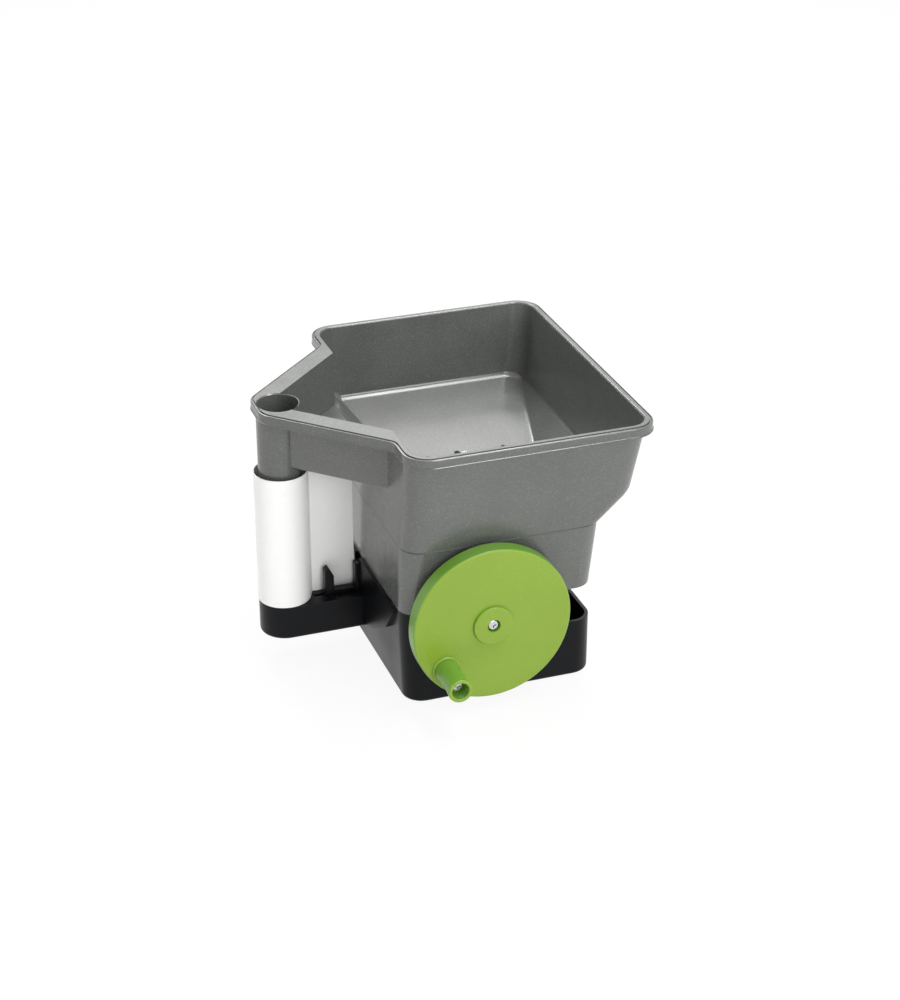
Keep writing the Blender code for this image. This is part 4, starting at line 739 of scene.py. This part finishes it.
# %% Open the wedge, the tube and the outlet
wedge_room = wedge("wedge_room", -107, 5.9, -42, WEDGE_TOP, RIM_TOP + 8)
cut(wedge_room, drum("tube_solid", (HANDLE_X, 0, 180), TUBE - 0.2, 80, sides=96))
round_edges(wedge_room, 1.5, 3, lambda e: middle_of(e).z < WEDGE_TOP + 0.1 and sharp(e))
WEB_TOP, TAPER_LOW = 62.4, 160
bore = drum(
    "bore", (HANDLE_X, 0, (WEB_TOP + TAPER_LOW) / 2), BORE, TAPER_LOW - WEB_TOP, sides=96
)
pick(bore, "FACE", faces(2, 1))
# Each step is a rise, with how much wider and deeper the bore gets: a taper and a small flare.
BORE_STEPS = ((28, 13.9 / BORE, 14.6 / BORE), (2.5, 1, 1), (0.75, 1.022, 1.06), (8, 1, 1))
for rise, wide, deep in BORE_STEPS:
    bpy.ops.mesh.extrude_region_move(TRANSFORM_OT_translate={"value": (0, 0, rise * MM)})
    bpy.ops.transform.resize(value=(wide, deep, 1), center_override=(HANDLE_X * MM, 0, 0))
done()
# The mouth's soft edge, as heights from the rim's top and how much wider the mouth is there.
MOUTH_STEPS = ((-1.0, 0), (-0.6, 0.1), (-0.22, 0.35), (0.05, 0.95), (5, 0.95))
mouth_edge = tower(
    "mouth_edge",
    [
        (RIM_TOP + height, BIN_REAR - wider, BIN_FRONT + wider, BIN_SIDE + wider)
        for height, wider in MOUTH_STEPS
    ],
    CORNER + 0.5,
)
SCREW_HOLE = 2.2
cut(
    bin_body,
    mouth_edge,
    wedge_room,
    bore,
    drum("socket", (HANDLE_X, 0, 48.4), BORE, 16, sides=96),
    drum("pilot", (HANDLE_X, 0, 60), SCREW_HOLE, 12, sides=24),
    block("outlet", (-4.5, -8, 58), (1.5, 8, 125)),
    drum("shaft_hole", (SPINDLE_X, 0, 117), 3.3, 12, sides=32),
    block("panel_notch", (-18.3, -112, 66), (42.3, -97.3, 84.3)),
)
print("bin:", len(bin_body.data.polygons), "faces")

# %% [markdown]
# Under the chute a shoe with two inward lips holds the gate plate. The four long bosses take the
# base screws from below.

# %% The gate's shoe and the screw holes
shoe = block("shoe", (-14.5, -12.8, 55.7), (5.3, 12.8, 62.5))
cut(
    shoe,
    block("track", (-16.5, -10.8, 57.7), (3.3, 10.8, 60.4)),
    block("between", (-16.5, -8, 53.7), (7.3, 8, 58)),
    block("shoe_mouth", (-4.5, -8, 56), (1.5, 8, 66)),
)
join(bin_body, shoe)
for x, y in SCREW_PLACES:
    cut(bin_body, drum("screw_hole", (x, y, 76), SCREW_HOLE, 17, sides=24))
for x, y in BRIDGE_PLACES:
    cut(bin_body, drum("bridge_hole", (x, y, 111.4), 1.6, 8, sides=20))


def at_level(edge, height):
    """Whether an edge lies level at a height, in millimetres."""
    return all(near(spot(v).z, height) for v in edge.verts)


crisp = round_edges(bin_body, 0.2, 2, lambda e: at_level(e, RIM_TOP) and sharp(e))
finish(bin_body, "frame", grey_plastic, ["hopper"])
print("edges softened on the rim:", crisp)

# %% [markdown]
# ## The base
# The tray, the arm and the flare behind it are one black moulding. The arm closes the handle's
# loop, and its spigot plugs the tube. A block with rounded uprights and a rounded foot makes the
# tray, and the arm is a second block with one round end.

# %% Tray, arm and flare
FOOT = 2.5
base = tower("base", [(0, -53.1, 81.9, 100.8), (69.1, -56.1, 81.9, 101.8)], 14)
round_edges(base, FOOT, 5, lambda e: at_level(e, 0) and sharp(e))
ARM_LOW, TRAY_TOP, ARM_SIDE = 17.6, 42.8, 18.1
arm = block("arm", (-128.1, -ARM_SIDE, ARM_LOW), (-50.6, ARM_SIDE, TRAY_TOP))
round_edges(arm, ARM_SIDE - 0.2, 16, lambda e: upright(e) and middle_of(e).x < -100)
for level, radius, segments in ((ARM_LOW, FOOT, 5), (TRAY_TOP, 0.7, 3)):
    round_edges(
        arm,
        radius,
        segments,
        lambda e: at_level(e, level) and sharp(e) and middle_of(e).x < -51,
    )
# Half width and height of points up the flare's slanting edge.
FLARE = [(15.6, 20.1), (25.3, 22.6), (43.4, 30.1), (69.4, 45.3), (85.1, 64.1), (87.5, 69.1)]
flare = block("flare", (-58.6, -87, 20.1), (-51.9, 87, 69.0))
for (y0, z0), (y1, z1) in zip(FLARE, FLARE[1:]):
    for side in (-1, 1):
        slice_off(flare, (0, side * y0, z0), (0, side * (z1 - z0), y0 - y1))
round_edges(flare, 5, 4, lambda e: along(e, 0) and 3 < turn(e) < 40)
round_edges(flare, 1.6, 4, lambda e: middle_of(e).x < -58.5 and middle_of(e).z < 69)
join(base, arm, flare)
print("base so far:", len(base.data.polygons), "faces")

# %% Hollow the base and open the throw slot
BASE_FLOOR = 3
base_room = tower(
    "base_room", [(BASE_FLOOR, -50.6, 79.4, 98.3), (71.6, -53.7, 79.4, 99.3)], 11.5
)
round_edges(base_room, 1.5, 3, lambda e: at_level(e, BASE_FLOOR) and sharp(e))
arm_room = block("arm_room", (-125.6, -15.6, 15.1), (-58.6, 15.6, 39.8))
round_edges(arm_room, 15.4, 12, lambda e: upright(e) and middle_of(e).x < -100)
SLOT_REAR = 42
throw_slot = block("throw_slot", (SLOT_REAR, -115, TRAY_TOP), (96, 115, 72))
round_edges(
    throw_slot, 3, 5, lambda e: at_level(e, TRAY_TOP) and near(middle_of(e).x, SLOT_REAR)
)
cut(
    base,
    base_room,
    arm_room,
    throw_slot,
    block("rear_notch", (-61.2, -11.1, 57.4), (-48.1, -0.6, 71.6)),
    block("slide_gap", (-61.2, -11.1, 42.9), (-56.1, -2.9, 59.9)),
)


def is_tray_lip(edge):
    """Whether an edge runs round the tray's lip, in front of the throw slot's rear end."""
    return near(middle_of(edge).z, TRAY_TOP) and middle_of(edge).x > 45.5 and sharp(edge)


lips = round_edges(base, 0.7, 3, is_tray_lip)
print("base:", len(base.data.polygons), "faces, tray lip edges:", lips)

# %% [markdown]
# The crank's panel stands up into a notch of the skirt and carries the axle boss. Inside, a ribbed
# pillar carries the rotor's spindle, and four posts take the screws that hold the bin.

# %% Panel, bosses and posts
CRANK_Z = 64.5
panel = block("panel", (-18, -101.7, 66.6), (42, -99.3, 84))
round_edges(panel, 0.6, 3, lambda e: middle_of(e).z > 68 and sharp(e))
axle_boss = drum("axle_boss", (0, -104.9, CRANK_Z), 8, 8.6, "Y", 48)
round_edges(axle_boss, 0.5, 2, lambda e: middle_of(e).y < -109 and sharp(e))
spigot = drum("spigot", (HANDLE_X, 0, 49.1), BORE - 0.4, 13.4, sides=64)
round_edges(spigot, 0.8, 3, lambda e: middle_of(e).z > 55 and sharp(e))
pillar = drum("pillar", (SPINDLE_X, 0, 20.05), 9, 37.1, sides=48)
rib_x = block("rib_x", (SPINDLE_X - 30, -1, 1.5), (SPINDLE_X + 30, 1, 27))
rib_y = block("rib_y", (SPINDLE_X - 1, -30, 1.5), (SPINDLE_X + 1, 30, 27))
join(base, panel, axle_boss, spigot, pillar, rib_x, rib_y)
for x, y in SCREW_PLACES:
    join(base, drum("post", (x, y, 35.3), 5.5, 67.6, sides=32))
    cut(
        base,
        drum("well", (x, y, 26), 4.1, 56, sides=32),
        drum("screw_way", (x, y, 36.5), SCREW_HOLE, 77, sides=24),
    )
cut(
    base,
    drum("bush_hole", (SPINDLE_X, -100.5, CRANK_Z), 5.6, 7.5, "Y", 40),
    drum("thread_hole", (0, -103.7, CRANK_Z), SCREW_HOLE, 15, "Y", 24),
    drum("pillar_hole", (SPINDLE_X, 0, 29.7), 5.6, 20.6, sides=40),
    drum("arm_hole", (HANDLE_X, 0, 47.8), SCREW_HOLE, 20, sides=24),
    block("tongue_slot", (-91.1, -8.5, 37.8), (-71, -5.5, 44.8)),
)
for x in (-83.3, -79.55, -75.8):
    pip = drum("pip", (x, -13, 42.9), 0.9, 1.0, sides=20)
    round_edges(pip, 0.4, 3, lambda e: middle_of(e).z > 43 and sharp(e))
    join(base, pip)
finish(base, "frame", black_plastic, ["base_housing"])

# %% [markdown]
# ## The flow gate
# The two finger posts on the arm, the bar between them and the gate plate are one black moulding
# that slides. The rear post leans back at the top so that a thumb can push it.

# %% Posts, bar and gate plate
POST_LOW, POST_TOP, POST_NEAR, POST_FAR = 43.1, 64.4, -10.5, -3.5
rear_post = block("rear_post", (-83.3, POST_NEAR, POST_LOW), (-76.8, POST_FAR, POST_TOP))
peak = (-80.4, 0, POST_TOP)
slice_off(rear_post, peak, (7, 0, 3.6))
slice_off(rear_post, peak, (-2, 0, 2.9))
stop_post = block("stop_post", (-61.3, POST_NEAR, POST_LOW), (-56.4, POST_FAR, POST_TOP))
for post in (rear_post, stop_post):
    round_edges(post, 0.7, 3, lambda e: middle_of(e).z > POST_LOW + 1 and turn(e) > 20)
gate = block("gate", (-31, -10.5, 58), (3, 10.5, 60.2))
join(
    gate,
    block("tail", (-58.8, -10.4, 58.05), (-29, -1.2, 60.15)),
    stop_post,
    block("bar", (-83.2, -10.2, 43.15), (-58.4, -3.8, 46.1)),
    rear_post,
    block("tongue", (-83.1, -8.2, 38.3), (-71.3, -5.8, 44.1)),
    block("tongue_lip", (-83.0, -10.0, 37.1), (-71.5, -4.0, 39.5)),
)
finish(gate, "slide", black_plastic, ["flow_slide"])

# %% [markdown]
# ## The crank wheel
# The wheel is a green dish: a plain face with a soft outer edge, a raised hub ring round its
# screw, and a collar under the knob. The back is hollow and has the inner gear teeth. A cylinder
# with insets makes the dish, and a star-shaped cutter makes all the tooth spaces at once.

# %% The wheel
KNOB_X, KNOB_Z = -33.323, 36.539
FRONT, BACK, INSIDE = -121.8, -110.6, -119.0
HUB_FACE, COLLAR_FACE = FRONT - 2.2, FRONT - 1.6
WHEEL, GEAR_RING, GEAR_HOLLOW = 55.7, 41.9, 34.7


def slab(name, x, z, radius, front, back, sides=64, spin=0.0):
    """A cylinder along Y between two faces, in millimetres. spin turns it round its axis."""
    piece = drum(name, (x, (front + back) / 2, z), radius, back - front, "Y", sides)
    if spin:
        pick(piece, "FACE", lambda f: True)
        bpy.ops.transform.rotate(
            value=math.radians(spin), orient_axis="Y", center_override=(x * MM, 0, z * MM)
        )
        done()
    return piece


def is_rim_of(place):
    """A test for the sharp edges round a face that looks along Y and lies at a place on it."""
    return lambda e: turn(e) > 50 and all(near(spot(v).y, place) for v in e.verts)


wheel = slab("wheel", 0, CRANK_Z, WHEEL, FRONT, BACK, 180)
round_edges(wheel, 1.5, 5, is_rim_of(FRONT))
round_edges(wheel, 0.6, 2, is_rim_of(BACK))
push(wheel, faces(1, 1), (1.9, 0), (0.3, -(BACK - INSIDE)))
ring = slab("ring", 0, CRANK_Z, GEAR_RING, INSIDE - 0.5, BACK - 0.5, 144)
hub = slab("hub", 0, CRANK_Z, 7.5, INSIDE - 0.5, BACK, 64)
knob_boss = slab("knob_boss", KNOB_X, KNOB_Z, 4.5, INSIDE - 0.5, BACK - 1.5, 48)
hub_ring = slab("hub_ring", 0, CRANK_Z, 14.0, HUB_FACE, FRONT + 0.5, 96)
round_edges(hub_ring, 0.8, 4, is_rim_of(HUB_FACE))
collar = slab("collar", KNOB_X, KNOB_Z, 10.0, COLLAR_FACE, FRONT + 0.5, 64)
round_edges(collar, 1.3, 4, is_rim_of(COLLAR_FACE))
cut(ring, slab("ring_hollow", 0, CRANK_Z, GEAR_HOLLOW, INSIDE, BACK + 1, 144))
join(wheel, ring, hub, knob_boss, hub_ring, collar)
print("wheel so far:", len(wheel.data.polygons), "faces")

# %% Tooth spaces and holes
TEETH, STAR, STAR_TIP = 36, 33.4, 39.0
PITCH, SIDES = 360 / TEETH, 4 * TEETH
# Half a side of turn puts two corners of the cylinder at the middle of each tooth space. They are
# pulled out to the teeth's roots, and the star's core is cut away, so that only spaces are left.
spaces = slab("spaces", 0, CRANK_Z, STAR, INSIDE + 0.6, BACK + 1, SIDES, spin=180 / SIDES)


def is_star_tip(vertex):
    """Whether a vertex is one of the two at the middle of a tooth space."""
    place = spot(vertex)
    angle = math.degrees(math.atan2(place.z - CRANK_Z, place.x))
    off_pitch = abs((angle + PITCH / 2) % PITCH - PITCH / 2)
    return off_pitch < 2 and math.hypot(place.x, place.z - CRANK_Z) > 30


tips = pick(spaces, "VERT", is_star_tip)
pull = STAR_TIP / STAR
bpy.ops.transform.resize(value=(pull, 1, pull), center_override=(0, 0, CRANK_Z * MM))
done()
cut(spaces, slab("core", 0, CRANK_Z, 34.2, INSIDE - 1, BACK + 2, 144))
cut(
    wheel,
    spaces,
    slab("axle_way", 0, CRANK_Z, 3.4, FRONT - 4, BACK + 2, 48),
    slab("head_seat", 0, CRANK_Z, 4.6, FRONT - 4, -119.9, 48),
    slab("knob_thread", KNOB_X, KNOB_Z, SCREW_HOLE, FRONT - 3, -113.6, 32),
)
# The wheel's edge and its hub ring's side take the green's painted side shade.
finish(wheel, "crank", green_plastic, ["crank_wheel"])
print("tooth space corners:", tips)

# %% [markdown]
# ## The knob
# The knob is a hollow sleeve that turns on a shoulder screw. It is a cylinder with a slight waist
# for the fingers, rounded at its end, with a deep hollow where the screw's head sits.

# %% The knob's sleeve
KNOB_END, KNOB_FOOT = -151.7, -123.7
GRIP, KNOB_WALL, KNOB_HOLLOW = 8.5, 2.7, 10
sleeve = slab("sleeve", KNOB_X, KNOB_Z, GRIP, KNOB_END, KNOB_FOOT, 72)
push(sleeve, faces(1, -1), (KNOB_WALL, 0), (0.2, -KNOB_HOLLOW))


def is_grip(face):
    """Whether a face is on the sleeve's outside."""
    middle = middle_of(face)
    return math.hypot(middle.x - KNOB_X, middle.z - KNOB_Z) > GRIP - 0.5


for share, waist in ((0.3, 8.25), (0.5, 8.15), (0.7, 8.25)):
    pick(sleeve, "FACE", is_grip)
    level = KNOB_FOOT + (KNOB_END - KNOB_FOOT) * share
    bpy.ops.mesh.bisect(plane_co=(0, level * MM, 0), plane_no=(0, 1, 0))
    done()
    pick(sleeve, "VERT", lambda v: near(spot(v).y, level))
    bpy.ops.transform.resize(
        value=(waist / GRIP, 1, waist / GRIP), center_override=(KNOB_X * MM, 0, KNOB_Z * MM)
    )
    done()
round_edges(sleeve, 1.0, 4, is_rim_of(KNOB_END))
round_edges(sleeve, 0.6, 2, is_rim_of(KNOB_FOOT))
cut(sleeve, slab("knob_bore", KNOB_X, KNOB_Z, 3.4, KNOB_END - 1, KNOB_FOOT + 1, 48))
# The knob's sides take the green's painted side shade.
finish(sleeve, "knob", green_plastic, ["knob_sleeve"])

# %% [markdown]
# ## The two shoulder screws
# Each has a domed head with a cross recess, a smooth shoulder that the wheel or the knob turns on,
# and a thinner thread. The recess is two crossing blades that narrow as they go in.


# %% Shoulder screws
def shoulder_screw(name, x, z, face, head_radius, shoulder_end, thread_end, body, replaced):
    """A screw along Y. face is the head's outer face; the ends are places on Y, in millimetres."""
    head = 2.6
    piece = slab(name, x, z, head_radius, face, face + head, 64)
    round_edges(piece, 1.1, 5, is_rim_of(face))
    shoulder = slab("shoulder", x, z, 3.1, face + head - 0.4, shoulder_end, 48)
    thread = slab("thread", x, z, 1.9, shoulder_end - 0.4, thread_end, 32)
    round_edges(thread, 0.8, 2, is_rim_of(thread_end))
    join(piece, shoulder, thread)
    reach, half = 2.2, 0.5
    for wide, high in ((reach, half), (half, reach)):
        blade = block("blade", (x - wide, face - 1, z - high), (x + wide, face + 1.5, z + high))
        pick(blade, "FACE", faces(1, 1))
        bpy.ops.transform.resize(value=(0.6, 1, 0.6), center_override=(x * MM, 0, z * MM))
        done()
        cut(piece, blade)
    finish(piece, body, bright_zinc, [replaced])


shoulder_screw("wheel_pin", 0, CRANK_Z, -122.8, 3.8, -109.2, -100.2, "frame", "wheel_screw")
shoulder_screw("knob_pin", KNOB_X, KNOB_Z, -144.6, 4.1, -123.7, -114.5, "crank", "knob_screw")

# %% [markdown]
# ## The card
# A sheet of white board is wrapped round the tube, and its two ends lie together in the finger gap
# as a flat flap. A cylinder with a part of its wall removed makes the wrap. Its two free edges are
# extruded in to the fold and on to the flap's end, and Solidify gives the board its thickness.

# %% Wrap and flap
CARD_LOW, CARD_TOP, FLAP_TOP = 43.1, 141.0, 147.3
WRAP, BOARD, FLAP_HALF = 18.2, 0.5, 0.33
card = drum(
    "card", (HANDLE_X, 0, (CARD_LOW + CARD_TOP) / 2), WRAP, CARD_TOP - CARD_LOW, sides=90
)


def around(face):
    """Angle of a face round the tube's axis, in degrees from the flap's side."""
    middle = middle_of(face)
    return math.degrees(math.atan2(middle.y, middle.x - HANDLE_X))


SLIT_NEAR, SLIT_FAR = -26, 22
pick(card, "FACE", lambda f: abs(f.normal.z) > 0.9 or SLIT_NEAR < around(f) < SLIT_FAR)
bpy.ops.mesh.delete(type="FACE")
done()
FOLD_END, FLAP_START, FLAP_END = -90.4, -88.0, -59.3
for side in (-1, 1):
    pick(card, "EDGE", lambda e: upright(e) and e.is_boundary and middle_of(e).y * side > 0)
    for x in (FOLD_END, FLAP_START, FLAP_END):
        bpy.ops.mesh.extrude_edges_move()
        chosen = [v for v in bmesh.from_edit_mesh(card.data).verts if v.select]
        here = sum((v.co for v in chosen), Vector()) / len(chosen)
        bpy.ops.transform.translate(
            value=(x * MM - here.x, side * FLAP_HALF * MM - here.y, 0)
        )
    done()
pick(card, "EDGE", lambda e: at_level(e, CARD_TOP) and middle_of(e).x > FLAP_START)
rise = (FLAP_TOP - CARD_TOP) * MM
bpy.ops.mesh.extrude_edges_move(TRANSFORM_OT_translate={"value": (0, 0, rise)})
bpy.ops.mesh.select_all(action="SELECT")
bpy.ops.mesh.normals_make_consistent(inside=False)
done()
board = card.modifiers.new("board", "SOLIDIFY")
board.thickness = BOARD * MM
board.offset = 0
board.use_even_offset = False
bpy.ops.object.modifier_apply(modifier=board.name)
finish(card, "frame", white_card, ["card_sleeve"])

# %% [markdown]
# ## The pieces that are right already
# The gears, bushes, shafts, the rotor and the small screws sit behind the skirt and inside the
# base. The measured model has their true shape, so they only get their real finish.

# %% Finish the carried pieces
CARRIED = {
    black_plastic: ["gear_bridge", "rotor", "agitator"],
    nylon: ["pinion", "drive_bevel", "spindle_bevel"]
    + ["panel_bush", "bridge_bush", "shelf_bush", "foot_bush"],
    drawn_steel: ["cross_shaft", "spindle"],
    bright_zinc: ["cap_nut", "handle_screw"]
    + ["wheel_washer", "shaft_lock_washer", "spindle_lock_washer"]
    + [f"base_screw_{k}" for k in (1, 2, 3, 4)]
    + [f"bridge_screw_{k}" for k in (1, 2)],
}
for material, names in CARRIED.items():
    for name in names:
        slots = frame["nodes"][name].data.materials
        slots.clear()
        slots.append(material)
print("carried over:", sum(len(names) for names in CARRIED.values()), "pieces")

# %% [markdown]
# ## The floor, the light and the background
# A photograph of this kind is lit by large soft boxes on a white sweep. The world gives even
# light from all round. A big lamp behind the bin lays a sheen on everything that faces up, and a
# small one beside it draws the bright lines along the floor's folds. A long strip overhead is
# what the rounded edges mirror, and a box in front, on the right, fills the wheel and the walls.

# %% Floor
def seen_directly(tree):
    """1 for rays from the camera, from a mirror-like surface and through glass, else 0."""
    ray = add(tree, "ShaderNodeLightPath")
    either = add(
        tree,
        "ShaderNodeMath",
        {"operation": "MAXIMUM"},
        {0: ray.outputs["Is Camera Ray"], 1: ray.outputs["Is Glossy Ray"]},
    )
    any_of = add(
        tree,
        "ShaderNodeMath",
        {"operation": "MAXIMUM"},
        {0: either.outputs["Value"], 1: ray.outputs["Is Transmission Ray"]},
    )
    return any_of.outputs["Value"]


FLOOR_DROP, WHITE_SHARE = 0.4, 0.92
alone()
bpy.ops.mesh.primitive_plane_add(size=6, location=(0, 0, -FLOOR_DROP * MM))
floor = settle("studio_floor")
sweep_paper, floor_tree, floor_shader = new_finish("white_sweep_paper", Roughness=0.9)
floor_place = add(floor_tree, "ShaderNodeTexCoord").outputs["Object"]
paper = add(
    floor_tree, "ShaderNodeTexNoise", links={"Vector": floor_place}, Scale=per_mm(60), Detail=2.0
)
paper_colour = add(
    floor_tree,
    "ShaderNodeMix",
    {"data_type": "RGBA"},
    {"Factor": paper.outputs["Fac"]},
    A=linear("F6F6F6"),
    B=linear("F2F2F2"),
)
floor_tree.links.new(paper_colour.outputs["Result"], floor_shader.inputs["Base Color"])
white = add(
    floor_tree, "ShaderNodeMath", {"operation": "MULTIPLY"}, {0: seen_directly(floor_tree)}
)
white.inputs[1].default_value = WHITE_SHARE
glow = add(floor_tree, "ShaderNodeEmission", Color=(1, 1, 1, 1), Strength=1.0)
floor_mix = add(
    floor_tree,
    "ShaderNodeMixShader",
    links={
        "Fac": white.outputs["Value"],
        1: floor_shader.outputs["BSDF"],
        2: glow.outputs["Emission"],
    },
)
floor_surface = floor_tree.nodes["Material Output"].inputs["Surface"]
floor_tree.links.new(floor_mix.outputs["Shader"], floor_surface)
floor.data.materials.append(sweep_paper)
print("floor:", floor.name)

# %% World
world = bpy.data.worlds.new("studio_light")
bpy.context.scene.world = world
world.use_nodes = True
sky = world.node_tree
soft_light = sky.nodes["Background"]
soft_light.inputs["Color"].default_value = (1, 1, 1, 1)
soft_light.inputs["Strength"].default_value = 0.36
bright = add(sky, "ShaderNodeBackground", Color=(1, 1, 1, 1), Strength=1.0)
choose = add(
    sky,
    "ShaderNodeMixShader",
    links={
        "Fac": seen_directly(sky),
        1: soft_light.outputs["Background"],
        2: bright.outputs["Background"],
    },
)
sky.links.new(choose.outputs["Shader"], sky.nodes["World Output"].inputs["Surface"])
print("world:", world.name)


# %% Lamps
def soft_box(name, place, target, width, height, power):
    """A rectangular lamp that faces its target. Lengths are in metres and the power in watts."""
    alone()
    bpy.ops.object.light_add(type="AREA", location=place)
    lamp = bpy.context.object
    lamp.name = name
    lamp.data.shape = "RECTANGLE"
    lamp.data.size = width
    lamp.data.size_y = height
    lamp.data.energy = power
    lamp.rotation_euler = (Vector(target) - Vector(place)).to_track_quat("-Z", "Y").to_euler()


soft_box("back_box", (-0.15, 1.15, 1.35), (0.02, 0, 0.15), 2.0, 1.0, 15)
soft_box("fold_box", (-0.165, 1.27, 1.28), (0.07, 0, 0.12), 0.25, 0.5, 8)
soft_box("top_box", (0.50, 0.0, 1.75), (0.05, 0, 0.1), 2.0, 0.35, 29)
soft_box("front_box", (0.35, -1.9, 0.9), (0, 0, 0.1), 1.2, 1.2, 21)
bpy.context.scene.view_settings.view_transform = "Standard"
